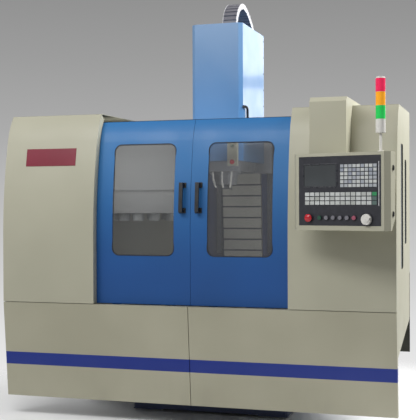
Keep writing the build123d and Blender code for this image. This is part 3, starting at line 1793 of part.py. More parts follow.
# Screen module, set in the window of the panel
with BuildPart() as display_screen:
    with BuildSketch(pendant_face.offset(-screen_depth)):
        rectangle_on_face(screen_left, screen_right, screen_low_z, screen_high_z, joint_gap)
    extrude(amount=screen_depth + face_plate - 1)
display_screen.part.label = "display_screen"
export_step(display_screen.part, "parts/display_screen.step")


def key_field(left, right, low_z, high_z, columns, rows):
    """Foil with a field of raised keys, on the front of the control panel."""
    pitch_u = (right - left) / columns
    pitch_z = (high_z - low_z) / rows
    with BuildSketch(pendant_face.offset(face_plate)) as foil:
        rectangle_on_face(left, right, low_z, high_z)
    extrude(foil.sketch, amount=key_foil)
    with BuildSketch(pendant_face.offset(face_plate + key_foil)) as keys:
        with Locations(((left + right) / 2, (low_z + high_z) / 2)):
            with GridLocations(pitch_u, pitch_z, columns, rows):
                Rectangle(pitch_u - key_gap, pitch_z - key_gap)
    extrude(keys.sketch, amount=key_height)


with BuildPart() as panel_keys:
    key_field(*keypad_field, keypad_columns, keypad_rows)
    key_field(*operator_field, operator_columns, operator_rows)
panel_keys.part.label = "panel_keys"
export_step(panel_keys.part, "parts/panel_keys.step")

# Six push buttons in their collars
for number, place in enumerate(button_places, start=1):
    with BuildPart() as push_button:
        with BuildSketch(pendant_face.offset(-sheet - stem_proud)):
            with Locations(place):
                Circle(button_stem)
        extrude(amount=sheet + stem_proud + face_plate + button_travel + 1)
        with BuildSketch(pendant_face.offset(face_plate + button_travel + 1)):
            with Locations(place):
                Circle(button_radius)
        extrude(amount=button_cap)
        circles = push_button.edges().filter_by(GeomType.CIRCLE)
        chamfer(circles.sort_by(Axis(pendant_face.origin, outward))[-1], 1)
    push_button.part.label = f"push_button_{number}"
    export_step(push_button.part, f"parts/push_button_{number}.step")

# Emergency stop: a mushroom head on a stem
with BuildPart() as emergency_stop:
    stop_profile = Plane(
        origin=pendant_face.from_local_coords((stop_u, stop_z, 0)), x_dir=across, z_dir=(0, 0, 1)
    )
    stop_axis = Axis(stop_profile.origin, outward)
    head_w = face_plate + collar_height + stop_travel + 1
    dome_radius = (stop_radius**2 + stop_dome**2) / (2 * stop_dome)
    with BuildSketch(stop_profile):
        with BuildLine():
            dome = CenterArc(
                (0, dome_radius - head_w - stop_cap),
                dome_radius,
                -90,
                degrees(asin(stop_radius / dome_radius)),
            )
            Polyline(
                dome @ 1,
                (stop_radius, -head_w - 4),
                (stop_radius - 4, -head_w),
                (stop_stem, -head_w),
                (stop_stem, sheet + stem_proud),
                (0, sheet + stem_proud),
                dome @ 0,
            )
        make_face()
    revolve(axis=stop_axis)
emergency_stop.part.label = "emergency_stop"
export_step(emergency_stop.part, "parts/emergency_stop.step")

# Handwheel with its crank knob
crank_place = (
    wheel_u + crank_radius * cos(radians(crank_angle)),
    wheel_z + crank_radius * sin(radians(crank_angle)),
)
wheel_front = face_plate + collar_height + 1
with BuildPart() as handwheel:
    with BuildSketch(pendant_face.offset(-sheet - stem_proud)):
        with Locations((wheel_u, wheel_z)):
            Circle(wheel_shaft)
    extrude(amount=sheet + stem_proud + wheel_front)
    with BuildSketch(pendant_face.offset(wheel_front)):
        with Locations((wheel_u, wheel_z)):
            Circle(wheel_radius)
    extrude(amount=wheel_thickness)
    rim = handwheel.edges().filter_by(GeomType.CIRCLE).sort_by(Axis(pendant_face.origin, outward))[-1]
    fillet(rim, 3)
    with BuildSketch(pendant_face.offset(wheel_front + wheel_thickness)):
        with Locations((wheel_u, wheel_z)):
            Circle(0.55 * wheel_radius)
    extrude(amount=3)
    with BuildSketch(pendant_face.offset(wheel_front + wheel_thickness)):
        with Locations(crank_place):
            Circle(crank_knob)
    extrude(amount=crank_length, taper=-5)
handwheel.part.label = "handwheel"
export_step(handwheel.part, "parts/handwheel.step")

# Signal light: mast, base, separators and cap on one tube, with three lenses around it
lens_pitch = lens_height + lens_spacer
lens_lows = [lens_low_z + index * lens_pitch for index in range(3)]
lamp_top_z = lens_lows[2] + lens_height
with BuildPart() as beacon_mast:
    with BuildSketch(plan_plane(pendant_high_z)):
        with Locations((mast_u, mast_w)):
            Circle(mast_foot)
    extrude(amount=6)
    with BuildSketch(plan_plane(pendant_high_z - sheet)):
        with Locations((mast_u, mast_w)):
            Circle(mast_radius - screw_clearance)
    extrude(amount=lamp_top_z + lamp_cap - pendant_high_z + sheet)
    with BuildSketch(plan_plane(lamp_base_z)):
        with Locations((mast_u, mast_w)):
            Circle(lamp_radius)
    extrude(amount=lens_low_z - joint_gap - lamp_base_z)
    for low_z in lens_lows[1:]:
        with BuildSketch(plan_plane(low_z - lens_spacer + joint_gap)):
            with Locations((mast_u, mast_w)):
                Circle(lamp_radius - 1)
        extrude(amount=lens_spacer - 2 * joint_gap)
    with BuildSketch(plan_plane(lamp_top_z + joint_gap)):
        with Locations((mast_u, mast_w)):
            Circle(lamp_radius)
    extrude(amount=lamp_cap, taper=20)
beacon_mast.part.label = "beacon_mast"
export_step(beacon_mast.part, "parts/beacon_mast.step")

for colour, low_z in zip(("green", "amber", "red"), lens_lows):
    with BuildPart() as lens:
        with BuildSketch(plan_plane(low_z)):
            with Locations((mast_u, mast_w)):
                Circle(lamp_radius)
                Circle(mast_radius + joint_gap, mode=Mode.SUBTRACT)
        extrude(amount=lens_height)
    lens.part.label = f"{colour}_lens"
    export_step(lens.part, f"parts/{colour}_lens.step")
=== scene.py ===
"""Finishes, trim and studio of a vertical machining centre, around its construction model."""

import json
import logging
import math
from dataclasses import dataclass, field
from enum import Enum
from typing import ClassVar

import bmesh
import bpy
from mathutils import Matrix, Vector


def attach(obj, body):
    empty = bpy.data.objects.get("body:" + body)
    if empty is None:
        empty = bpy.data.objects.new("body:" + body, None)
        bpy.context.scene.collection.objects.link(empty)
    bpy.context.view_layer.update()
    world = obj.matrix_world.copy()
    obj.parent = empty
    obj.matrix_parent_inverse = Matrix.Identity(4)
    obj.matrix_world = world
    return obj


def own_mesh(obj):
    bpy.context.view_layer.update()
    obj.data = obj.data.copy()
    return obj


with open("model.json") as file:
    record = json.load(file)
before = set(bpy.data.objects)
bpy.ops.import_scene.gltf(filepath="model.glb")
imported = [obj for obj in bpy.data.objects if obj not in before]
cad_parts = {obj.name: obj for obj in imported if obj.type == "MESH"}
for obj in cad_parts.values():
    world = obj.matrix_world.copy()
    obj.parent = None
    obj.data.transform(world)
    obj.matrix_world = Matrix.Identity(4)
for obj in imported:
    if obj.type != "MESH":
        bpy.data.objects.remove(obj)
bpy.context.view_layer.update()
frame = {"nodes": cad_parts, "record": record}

LOG = logging.getLogger("machining_centre")
Colour = tuple[float, float, float, float]
Point = tuple[float, float, float]
Span = tuple[float, float]
Socket = bpy.types.NodeSocket

# The pendant's front: a point on it, the direction across it and the direction out of it
PENDANT_YAW = math.radians(17.0)
PENDANT_FACE = Vector((1.010, -1.155, 0.0))
PENDANT_ACROSS = Vector((math.cos(PENDANT_YAW), -math.sin(PENDANT_YAW), 0.0))
PENDANT_OUT = Vector((-math.sin(PENDANT_YAW), -math.cos(PENDANT_YAW), 0.0))

# Settings that several nodes share
SMOOTH = {"interpolation_type": "SMOOTHSTEP"}
COLOURS = {"data_type": "RGBA"}

# Widths of broken edges
FINE_EDGE = 0.0006
SHEET_EDGE = 0.0008
MOULDED_EDGE = 0.001
CAP_EDGE = 0.0012

# Aims of the screws' rays
DOWN = (0, 0, -1)
FORWARD = (0, -1, 0)


def on_pendant(across: float, height: float, out: float = 0.0) -> Vector:
    """Find a place on the pendant from its distance across, its height and its distance out."""
    return PENDANT_FACE + across * PENDANT_ACROSS + out * PENDANT_OUT + Vector((0, 0, height))


def srgb(code: str) -> Colour:
    """Turn an sRGB hex colour into the linear one that shaders read.

    Args:
        code: Six hex digits after a hash sign.

    Returns:
        Red, green, blue and an alpha of one.
    """
    channels = [int(code[place : place + 2], 16) / 255 for place in (1, 3, 5)]
    linear = [c / 12.92 if c <= 0.04045 else ((c + 0.055) / 1.055) ** 2.4 for c in channels]
    return (*linear, 1.0)


def add_node(
    tree: bpy.types.NodeTree,
    kind: str,
    settings: dict | None = None,
    inputs: dict | None = None,
) -> bpy.types.Node:
    """Add a node with its settings, its input values and its links.

    Args:
        tree: The node tree that gets the node.
        kind: Blender's identifier of the node type.
        settings: Properties of the node itself.
        inputs: Values or output sockets for the node's inputs, by name or number.

    Returns:
        The new node.
    """
    node = tree.nodes.new(kind)
    for name, value in (settings or {}).items():
        setattr(node, name, value)
    for key, value in (inputs or {}).items():
        if isinstance(value, Socket):
            tree.links.new(value, node.inputs[key])
        else:
            node.inputs[key].default_value = value
    return node


def add_object(name: str, data: bpy.types.ID) -> bpy.types.Object:
    """Make an object of a mesh, a lamp or a camera, and put it in the scene."""
    made = bpy.data.objects.new(name, data)
    bpy.context.scene.collection.objects.link(made)
    return made


def break_edges(piece: bpy.types.Object, width: float) -> None:
    """Bevel a piece's sharp edges by a width, or leave them where it is zero."""
    if width:
        edge = piece.modifiers.new("broken_edges", "BEVEL")
        edge.width = width
        edge.segments = 2
        edge.limit_method = "ANGLE"


def circle(radius: float, sides: int) -> list[Span]:
    """Trace a circle about the origin, anticlockwise."""
    turns = (2 * math.pi * side / sides for side in range(sides))
    return [(radius * math.cos(turn), radius * math.sin(turn)) for turn in turns]


class Axis(Enum):
    """Direction of grinding or brushing, as the factors that draw a pattern out along it."""

    X = (0.03, 1, 1)
    Y = (1, 0.02, 1)


@dataclass(frozen=True)
class Pattern:
    """Soft spots: their width in metres, their octaves, and factors that shorten them by axis."""

    size: float
    detail: float = 2.0
    stretch: Point = (1, 1, 1)


@dataclass
class Sheet:
    """A new material's node tree with its object coordinates and its principled shader."""

    name: str
    tree: bpy.types.NodeTree = field(init=False)
    shader: bpy.types.Node = field(init=False)
    place: Socket = field(init=False)
    material: bpy.types.Material = field(init=False)

    def __post_init__(self) -> None:
        """Make the material, its shader and its output."""
        self.material = bpy.data.materials.new(self.name)
        self.material.use_nodes = True
        self.tree = self.material.node_tree
        self.tree.nodes.clear()
        self.shader = add_node(self.tree, "ShaderNodeBsdfPrincipled")
        self.add("OutputMaterial", inputs={"Surface": self.shader.outputs["BSDF"]}, output=None)
        self.place = self.add("TexCoord", output="Object")

    def add(
        self,
        kind: str,
        settings: dict | None = None,
        inputs: dict | None = None,
        output: int | str | None = 0,
    ) -> Socket | None:
        """Add a shader node, as add_node does, and give one of its outputs."""
        node = add_node(self.tree, f"ShaderNode{kind}", settings, inputs)
        return None if output is None else node.outputs[output]

    def set(self, **values: object) -> None:
        """Set inputs of the shader, with underscores for the blanks in their names."""
        for key, value in values.items():
            socket = self.shader.inputs[key.replace("_", " ")]
            if isinstance(value, Socket):
                self.tree.links.new(value, socket)
            else:
                socket.default_value = value

    def spots(self, pattern: Pattern) -> Socket:
        """Lay a pattern on the object's coordinates, with values from 0 to 1."""
        place = self.add("Mapping", inputs={"Vector": self.place, "Scale": pattern.stretch})
        values = {"Vector": place, "Scale": 1 / pattern.size, "Detail": pattern.detail}
        return self.add("TexNoise", inputs=values)

    def graded(self, pattern: Pattern, span: Span, start: float = 0.0, end: float = 1.0) -> Socket:
        """Lay a pattern, and map a span of its values onto the range from start to end."""
        values = {"Value": self.spots(pattern), 1: span[0], 2: span[1], 3: start, 4: end}
        return self.add("MapRange", SMOOTH, values)

    def bump(self, value: Socket, depth: float, strength: float) -> None:
        """Turn a pattern into relief of a real depth in metres, on top of earlier relief."""
        inputs = {"Height": value, "Distance": depth, "Strength": strength}
        earlier = self.shader.inputs["Normal"].links
        if earlier:
            inputs["Normal"] = earlier[0].from_socket
        self.set(Normal=self.add("Bump", inputs=inputs))


@dataclass(frozen=True)
class Finish:
    """What all finishes share: two close tones in patches, an uneven gloss and fine relief.

    Each relief is a pattern with its depth in metres and its strength.
    """

    name: str
    colour: str
    shade: str
    roughness: float = 0.4
    patches: ClassVar[Pattern] = Pattern(0.02, 4)
    contrast: ClassVar[Span] = (0.3, 0.7)
    wear: ClassVar[Pattern] = Pattern(0.02, 4)
    wear_span: ClassVar[Span] = (0.2, 0.8)
    gloss: ClassVar[Span] = (-0.05, 0.07)
    relief: ClassVar[tuple[tuple[Pattern, float, float], ...]] = ()

    def coat(self, sheet: Sheet) -> Socket:
        """Blend the two tones in patches."""
        share = sheet.graded(self.patches, self.contrast)
        return sheet.add("Mix", COLOURS, {0: share, 6: srgb(self.colour), 7: srgb(self.shade)}, 2)

    def sheen(self, sheet: Sheet) -> Socket:
        """Spread the roughness about its middle, as wear and making leave it."""
        low, high = (max(0.04, self.roughness + change) for change in self.gloss)
        return sheet.graded(self.wear, self.wear_span, low, high)

    def surface(self) -> dict[str, object]:
        """Give the shader inputs that only this finish sets."""
        return {}

    def build(self) -> bpy.types.Material:
        """Make the material."""
        sheet = Sheet(self.name)
        sheet.set(Base_Color=self.coat(sheet), Roughness=self.sheen(sheet), **self.surface())
        for pattern, depth, strength in self.relief:
            sheet.bump(sheet.spots(pattern), depth, strength)
        return sheet.material


@dataclass(frozen=True)
class PowderCoat(Finish):
    """Polyester powder coat on folded sheet steel: orange peel, satin shine, handling marks."""

    roughness: float = 0.42
    shine: float = 0.0
    # Darker, patchy colour towards the floor, up to a height: partly dirt, partly painted shade of
    # the light falling off downwards
    dust_and_shade: str = "#8d8a7c"
    dust_and_shade_strength: float = 0.3
    dust_and_shade_height: float = 0.45
    # Colour between two heights: real navy stripes on the lower panels, painted shade on the rear
    # walls
    stripe: str = ""
    stripe_or_painted_shade_low: float = 0.0
    stripe_or_painted_shade_high: float = 0.0
    # Painted highlight: a lighter colour blended in between two heights, standing in for the light
    # from above on the upper part
    painted_top_light: str = ""
    painted_light_low: float = 0.9
    painted_light_high: float = 1.85
    patches = Pattern(0.55)
    contrast = (0.3, 0.75)
    wear = Pattern(0.2, 4)
    relief = ((Pattern(0.006, 1), 0.0001, 0.35),)

    def coat(self, sheet: Sheet) -> Socket:
        """Blend the tones, with a painted highlight higher up, dirt and painted shade low down, and
        real striping or a strip of painted shade between two heights, where there is one.
        """
        coat = super().coat(sheet)
        height = sheet.add("SeparateXYZ", inputs={0: sheet.place}, output="Z")
        # Painted highlight: the colour lightens towards the top, as the light falls from above
        if self.painted_top_light:
            span = {"Value": height, 1: self.painted_light_low, 2: self.painted_light_high, 3: 0.0, 4: 1.0}
            painted_light_share = sheet.add("MapRange", SMOOTH, span)
            coat = sheet.add("Mix", COLOURS, {0: painted_light_share, 6: coat, 7: srgb(self.painted_top_light)}, 2)
        # Between two heights: the lower panels' real navy stripes, the rear walls' painted shade
        if self.stripe:
            above, below = (
                sheet.add("Math", {"operation": test}, {0: height, 1: level})
                for test, level in (
                    ("GREATER_THAN", self.stripe_or_painted_shade_low),
                    ("LESS_THAN", self.stripe_or_painted_shade_high),
                )
            )
            stripe_or_painted_shade_band = sheet.add("Math", {"operation": "MULTIPLY"}, {0: above, 1: below})
            coat = sheet.add("Mix", COLOURS, {0: stripe_or_painted_shade_band, 6: coat, 7: srgb(self.stripe)}, 2)
        # Dirt and painted shade: a darker, patchy tone towards the floor
        dust_and_shade_patches = sheet.graded(Pattern(0.12, 4, (1, 1, 0.3)), (0.45, 0.8), 0.25)
        span = {"Value": height, 1: 0.0, 2: self.dust_and_shade_height, 3: self.dust_and_shade_strength, 4: 0.0}
        dust_and_shade_ramp = sheet.add("MapRange", SMOOTH, span)
        dust_and_shade_share = sheet.add("Math", {"operation": "MULTIPLY"}, {0: dust_and_shade_ramp, 1: dust_and_shade_patches})
        return sheet.add("Mix", COLOURS, {0: dust_and_shade_share, 6: coat, 7: srgb(self.dust_and_shade)}, 2)

    def surface(self) -> dict[str, object]:
        """Give the clear shine of a fresh coat."""
        return {"Coat_Weight": self.shine, "Coat_Roughness": 0.1}


@dataclass(frozen=True)
class CastPaint(Finish):
    """Filled and sprayed enamel on a sand casting: soft waves and the sand's grain."""

    roughness: float = 0.38
    patches = Pattern(0.18, 4)
    contrast = (0.3, 0.75)
    wear = Pattern(0.05, 4)
    gloss = (-0.08, 0.12)
    relief = ((Pattern(0.008), 0.0003, 0.25), (Pattern(0.09), 0.002, 0.5))


@dataclass(frozen=True)
class GroundSteel(Finish):
    """Hardened steel, surface-ground along one axis: fine parallel lines, streaked gloss."""

    colour: str = "#b9bcbf"
    shade: str = "#9a9da1"
    roughness: float = 0.26
    patches = Pattern(0.0016, 3, Axis.Y.value)
    wear = patches
    wear_span = (0.25, 0.75)
    gloss = (-0.06, 0.12)
    relief = ((patches, 0.00006, 0.6),)

    def surface(self) -> dict[str, object]:
        """Give bare metal."""
        return {"Metallic": 1.0}


@dataclass(frozen=True)
class GalvanisedSheet(Finish):
    """Hot-dip galvanised steel: zinc crystals, each a slightly different grey, and stains."""

    colour: str = "#a3a8a9"
    shade: str = "#7f8587"
    stain: str = "#6f716c"
    spangle: float = 0.014

    def build(self) -> bpy.types.Material:
        """Make the zinc with its crystals and some staining."""
        sheet = Sheet(self.name)
        cells = {"Vector": sheet.place, "Scale": 1 / self.spangle, "Randomness": 1.0}
        crystals = sheet.add("TexVoronoi", inputs=cells, output="Color")
        grey = sheet.add("SeparateColor", inputs={0: crystals})
        stains = sheet.graded(Pattern(0.16, 4), (0.45, 0.75), 0.0, 0.5)
        tones = {0: grey, 6: srgb(self.colour), 7: srgb(self.shade)}
        zinc = sheet.add("Mix", COLOURS, tones, 2)
        sheet.set(
            Base_Color=sheet.add("Mix", COLOURS, {0: stains, 6: zinc, 7: srgb(self.stain)}, 2),
            Metallic=0.85,
            Roughness=sheet.add(
                "MapRange", SMOOTH, {"Value": grey, 1: 0.0, 2: 1.0, 3: 0.34, 4: 0.5}
            ),
        )
        sheet.bump(grey, 0.0001, 0.3)
        return sheet.material


@dataclass(frozen=True)
class MachinedIron(Finish):
    """Grey cast iron, milled and scraped: dull metal with a scraping pattern and open grain."""

    colour: str = "#82858a"
    shade: str = "#5f6266"
    roughness: float = 0.38
    patches = Pattern(0.012)
    contrast = (0.35, 0.65)
    wear = Pattern(0.003, 4)
    gloss = (-0.08, 0.1)
    relief = ((wear, 0.0001, 0.4),)

    def surface(self) -> dict[str, object]:
        """Give metal, dulled by the graphite in it."""
        return {"Metallic": 0.9}


@dataclass(frozen=True)
class MouldedPlastic(Finish):
    """Injection-moulded ABS or polycarbonate: an eroded grain, or polished where it is zero."""

    grain: float = 0.0012
    # Emission: a lamp's own light on the lamp tube, painted light on the coloured lenses
    lamp_or_painted_glow: float = 0.0
    contrast = (0.35, 0.75)
    wear_span = (0.3, 0.8)
    gloss = (-0.05, 0.06)

    @property
    def relief(self) -> tuple[tuple[Pattern, float, float], ...]:
        """Give the mould's grain."""
        return ((Pattern(self.grain), 0.00008, 0.5),) if self.grain else ()

    def surface(self) -> dict[str, object]:
        """Give its emission, where it has some: the lamp tube's own light, and painted light on the
        coloured lenses, standing in for the light that they catch; and the index of its resin.
        """
        return {
            "Emission_Color": srgb(self.colour),
            "Emission_Strength": self.lamp_or_painted_glow,
            "IOR": 1.53,
        }


@dataclass(frozen=True)
class BlackenedSteel(MouldedPlastic):
    """Black-oxide steel, oiled: the film hides the metal, so it looks like a dark smooth resin."""


@dataclass(frozen=True)
class SmokedSheet(Finish):
    """Smoked polycarbonate window: clear enough for shapes behind it, slightly uneven tint."""

    roughness: float = 0.1
    opacity: float = 0.4

    def build(self) -> bpy.types.Material:
        """Make the window."""
        sheet = Sheet(self.name)
        tint = sheet.graded(Pattern(0.3, 2, (1, 1, 0.5)), (0.3, 0.7))
        tones = {0: tint, 6: srgb(self.colour), 7: srgb(self.shade)}
        gloss = {"Value": tint, 1: 0.0, 2: 1.0, 3: self.roughness, 4: self.roughness + 0.03}
        sheet.set(
            Base_Color=sheet.add("Mix", COLOURS, tones, 2),
            Roughness=sheet.add("MapRange", SMOOTH, gloss),
            Alpha=self.opacity,
            Specular_IOR_Level=0.3,
        )
        return sheet.material


@dataclass(frozen=True)
class DisplayGlass(Finish):
    """Switched-off liquid-crystal display behind hardened glass: a deep, even, cool grey."""

    colour: str = "#2b3033"
    shade: str = "#353b3e"
    roughness: float = 0.3
    patches = Pattern(0.3, 1)
    wear = Pattern(0.05, 3)
    wear_span = (0.3, 0.8)
    gloss = (0.0, 0.12)

    def surface(self) -> dict[str, object]:
        """Give the glass in front of it."""
        return {"Coat_Weight": 0.6, "Coat_Roughness": 0.05}


@dataclass(frozen=True)
class KeyFoil(Finish):
    """Embossed polyester foil over snap domes: dark printed ground, light raised key tops.

    A grid is its left side, its lower side, and the width and height of a key with its gap.
    """

    colour: str = "#c3c6c4"
    shade: str = "#7f879a"
    ground: str = "#22242c"
    operator_shade: str = "#8d9088"
    end_key: str = "#566a66"
    start_key: str = "#2f8a57"
    key_start: float = 0.0031
    split: float = 1.495
    keypad: tuple[float, float, float, float] = (0.006, 1.507, 0.02556, 0.02233)
    keypad_columns: int = 9
    operator: tuple[float, float, float, float] = (-0.221, 1.407, 0.03264, 0.02533)
    lower_rows: int = 2
    wear = Pattern(0.01, 3)
    wear_span = (0.3, 0.8)
    gloss = (-0.04, 0.08)
    relief = ((Pattern(0.0015), 0.00004, 0.4),)

    def tones(self, sheet: Sheet, places: tuple[Socket, Socket], upper: bool) -> Socket:
        """Give each key of one grid its own tone.

        Args:
            sheet: The material being made.
            places: Distance across the pendant, and height above the floor.
            upper: Whether it is the keypad's grid, and not the operator keys'.

        Returns:
            A colour that is even over each key.
        """
        grid = self.keypad if upper else self.operator
        cell = []
        for value, start, pitch in zip(places, grid[:2], grid[2:]):
            for operation, number in (("SUBTRACT", start), ("DIVIDE", pitch), ("FLOOR", 0.0)):
                value = sheet.add("Math", {"operation": operation}, {0: value, 1: number})
            cell.append(value)
        cell = sheet.add("CombineXYZ", inputs={0: cell[0], 1: cell[1]})
        chance = sheet.add("TexWhiteNoise", inputs={"Vector": cell})
        low, most, shade = (0.2, 0.75, self.shade) if upper else (0.3, 0.6, self.operator_shade)
        share = sheet.add("MapRange", SMOOTH, {"Value": chance, 1: low, 2: 1.0, 3: 0.0, 4: most})
        return sheet.add("Mix", COLOURS, {0: share, 6: srgb(self.colour), 7: srgb(shade)}, 2)

    def coat(self, sheet: Sheet) -> Socket:
        """Colour the ground and the keys, the last column of the operator keys on its own."""
        moved = sheet.add(
            "VectorMath", {"operation": "SUBTRACT"}, {0: sheet.place, 1: tuple(PENDANT_FACE)}
        )
        across, out = (
            sheet.add(
                "VectorMath", {"operation": "DOT_PRODUCT"}, {0: moved, 1: tuple(way)}, "Value"
            )
            for way in (PENDANT_ACROSS, PENDANT_OUT)
        )
        height = sheet.add("SeparateXYZ", inputs={0: sheet.place}, output="Z")
        right = self.keypad[0] + self.keypad_columns * self.keypad[2]
        upper, lower, last, top_row, raised = (
            sheet.add("Math", {"operation": test}, {0: value, 1: level})
            for test, value, level in (
                ("GREATER_THAN", height, self.split),
                ("LESS_THAN", height, self.split),
                ("GREATER_THAN", across, right - self.operator[2]),
                ("GREATER_THAN", height, self.operator[1] + self.lower_rows * self.operator[3]),
                ("GREATER_THAN", out, self.key_start),
            )
        )
        end = sheet.add("Math", {"operation": "MULTIPLY"}, {0: last, 1: lower})
        start = sheet.add("Math", {"operation": "MULTIPLY"}, {0: end, 1: top_row})
        low_keys, high_keys = (self.tones(sheet, (across, height), side) for side in (False, True))
        keys = low_keys
        for share, tone in (
            (upper, high_keys),
            (end, srgb(self.end_key)),
            (start, srgb(self.start_key)),
        ):
            keys = sheet.add("Mix", COLOURS, {0: share, 6: keys, 7: tone}, 2)
        return sheet.add("Mix", COLOURS, {0: raised, 6: srgb(self.ground), 7: keys}, 2)


@dataclass(frozen=True)
class Anodised(Finish):
    """Dyed anodised aluminium plate: even colour, brushed along its length."""

    roughness: float = 0.34
    patches = Pattern(0.2)
    wear = Pattern(0.002, 3, Axis.X.value)
    gloss = (-0.06, 0.1)
    relief = ((wear, 0.00003, 0.5),)


@dataclass(frozen=True)
class Rubber(Finish):
    """Extruded rubber profile: near black, dull, slightly chalky on its outside."""

    roughness: float = 0.65
    patches = Pattern(0.03, 5)
    contrast = (0.4, 0.75)
    wear = patches
    wear_span = (0.3, 0.8)
    gloss = (-0.1, 0.1)
    relief = ((Pattern(0.002, 3), 0.0001, 0.4),)


FINISHES = {
    "painted_beige": PowderCoat("powder_coat_beige", "#b0ae9b", "#aaa895", 0.46),
    # The doors' blue lightens towards the top: a painted highlight of the light from above
    "painted_blue": PowderCoat(
        "powder_coat_blue", "#0c4a8c", "#0b4684", 0.5, 0.05, dust_and_shade_strength=0.0, painted_top_light="#1b6aa6"
    ),
    "painted_navy": CastPaint("casting_enamel_navy", "#25335c", "#1f2b4e"),
    "painted_grey": PowderCoat("powder_coat_grey", "#8f9290", "#858886", 0.4),
    "galvanised": GalvanisedSheet("galvanised_sheet"),
    "ground_steel": GroundSteel("ground_steel"),
    "cast_iron": MachinedIron("machined_cast_iron"),
    "black_plastic": MouldedPlastic("black_abs", "#17181a", "#1f2022", 0.42),
    "grey_plastic": MouldedPlastic("grey_polyamide", "#77767d", "#6d6c73", 0.32),
    "panel_black": MouldedPlastic("printed_front_foil", "#1f2027", "#25262e", 0.4, 0.0015),
    "grey_keys": KeyFoil("embossed_key_foil"),
    "white_plastic": MouldedPlastic("white_polycarbonate", "#dedcd6", "#d2d0ca", 0.3, 0.0),
    "red_plastic": MouldedPlastic("red_polycarbonate", "#c3202c", "#b31b28", 0.25, 0.0),
    # The lenses' slight emission is painted light, standing in for the light that they catch
    "amber_plastic": MouldedPlastic("amber_lens", "#f0a21c", "#e39511", 0.15, 0.0, 0.25),
    "green_plastic": MouldedPlastic("green_lens", "#1fc455", "#17b44b", 0.15, 0.0, 0.2),
    "pink_plastic": MouldedPlastic("pink_cap", "#a4566a", "#984c60", 0.35, 0.0),
    "smoked_glass": SmokedSheet("smoked_polycarbonate", "#5b5c5e", "#626365"),
    "dark_glass": DisplayGlass("display_glass"),
    "maroon_plate": Anodised("dyed_plate", "#7d2034", "#771c2f"),
}

NODE_FINISHES = {
    # The lower panels wear the upper panels' beige, painted darker as shade towards the floor;
    # their navy stripes are real
    "lower_left_panel": PowderCoat(
        "striped_coat",
        "#aca995",
        "#a29f8b",
        0.46,
        stripe="#07277e",
        stripe_or_painted_shade_low=0.349,
        stripe_or_painted_shade_high=0.432,
    ),
    "drag_chain": MouldedPlastic("chain_filling", "#373e4e", "#30363f", 0.5),
    "push_button_1": MouldedPlastic("green_cap", "#1d4a38", "#183f30", 0.35, 0.0),
    # The dome's slight emission is painted light, standing in for the light that it catches
    "red_lens": MouldedPlastic("red_lens_dome", "#d92050", "#cf1a48", 0.15, 0.0, 0.35),
    "work_light": MouldedPlastic("lamp_tube", "#f2f4f6", "#e9ecef", 0.3, 0.0, 2.0),
    # The head cover wears the doors' blue paint, painted lighter for the light that its front
    # catches, and lighter still towards its top as a painted highlight
    "head_cover": PowderCoat(
        "powder_coat_light_blue",
        "#4f7fb2",
        "#4b7bad",
        0.32,
        0.4,
        dust_and_shade_strength=0.0,
        painted_top_light="#6b90b9",
        painted_light_low=2.0,
        painted_light_high=2.7,
    ),
    "headstock": CastPaint("casting_enamel_grey", "#797b7e", "#6e7073"),
    "head_switch_box": PowderCoat("switch_box_coat", "#a3a292", "#9b9a8a", 0.45, dust_and_shade_strength=0.0),
    # The dark grey strip low on the rear walls is painted shade, where the side walls' folded lower
    # part overhangs them
    "rear_walls": PowderCoat(
        "rear_wall_coat",
        "#b0ae9b",
        "#aaa895",
        0.46,
        stripe="#46473e",
        stripe_or_painted_shade_low=0.4,
        stripe_or_painted_shade_high=0.66,
    ),
    "screw_steel": BlackenedSteel("blackened_screw_steel", "#3a3b3d", "#48494b", 0.36, 0.0),
    "chain_plates": MouldedPlastic("pale_polyamide", "#d9d9dc", "#cecfd3", 0.35),
    "gasket_rubber": Rubber("gasket_rubber", "#20252f", "#2a303b"),
    "slot_panes": SmokedSheet("dark_tinted_panes", "#1d2c36", "#243642", opacity=0.9),
    "cover_plates": PowderCoat("cover_coat", "#9f9e95", "#929188", 0.4, dust_and_shade_strength=0.0),
    "hose_grey": MouldedPlastic("hose_segments", "#c9c9c4", "#bcbcb7", 0.35, 0.0),
    "guard_grey": PowderCoat("guard_coat", "#8b8c8a", "#838482", 0.45, dust_and_shade_strength=0.0),
    "bezel_black": MouldedPlastic("bezel_abs", "#2b2d33", "#33353b", 0.3),
}
SHARED_FINISHES = {"lower_right_panel": "lower_left_panel"}


@dataclass
class Paintshop:
    """Builds each finish once, and gives it to CAD nodes and to the scene's own pieces."""

    made: dict[str, bpy.types.Material] = field(default_factory=dict)

    def material(self, key: str) -> bpy.types.Material:
        """Give the material of a slot, a node or a trim, built on its first use."""
        if key not in self.made:
            self.made[key] = (NODE_FINISHES.get(key) or FINISHES[key]).build()
        return self.made[key]

    def dress_cad(self) -> None:
        """Give every node of the construction model the material of its slot or its own."""
        for row in frame["record"]["subparts"]:
            node = row["node"]
            key = SHARED_FINISHES.get(node, node)
            key = key if key in NODE_FINISHES else row["material_slot"]
            for slot in frame["nodes"][node].material_slots:
                slot.material = self.material(key)
            LOG.info("%s: %s", node, self.material(key).name)

    def fit(self, piece: bpy.types.Object, body: str, slot: str, finish: str = "") -> None:
        """Dress a piece of the scene and let it ride on its body.

        Args:
            piece: The finished object, at the origin.
            body: The body that carries it.
            slot: The record's material slot that it belongs to.
            finish: Key of its own finish, where it differs from the slot's.
        """
        material = self.material(finish or slot)
        if not piece.data.materials:
            piece.data.materials.append(material)
        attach(piece, body)
        faces = len(piece.data.polygons)
        LOG.info("%s on %s: %s, %d faces", piece.name, body, material.name, faces)


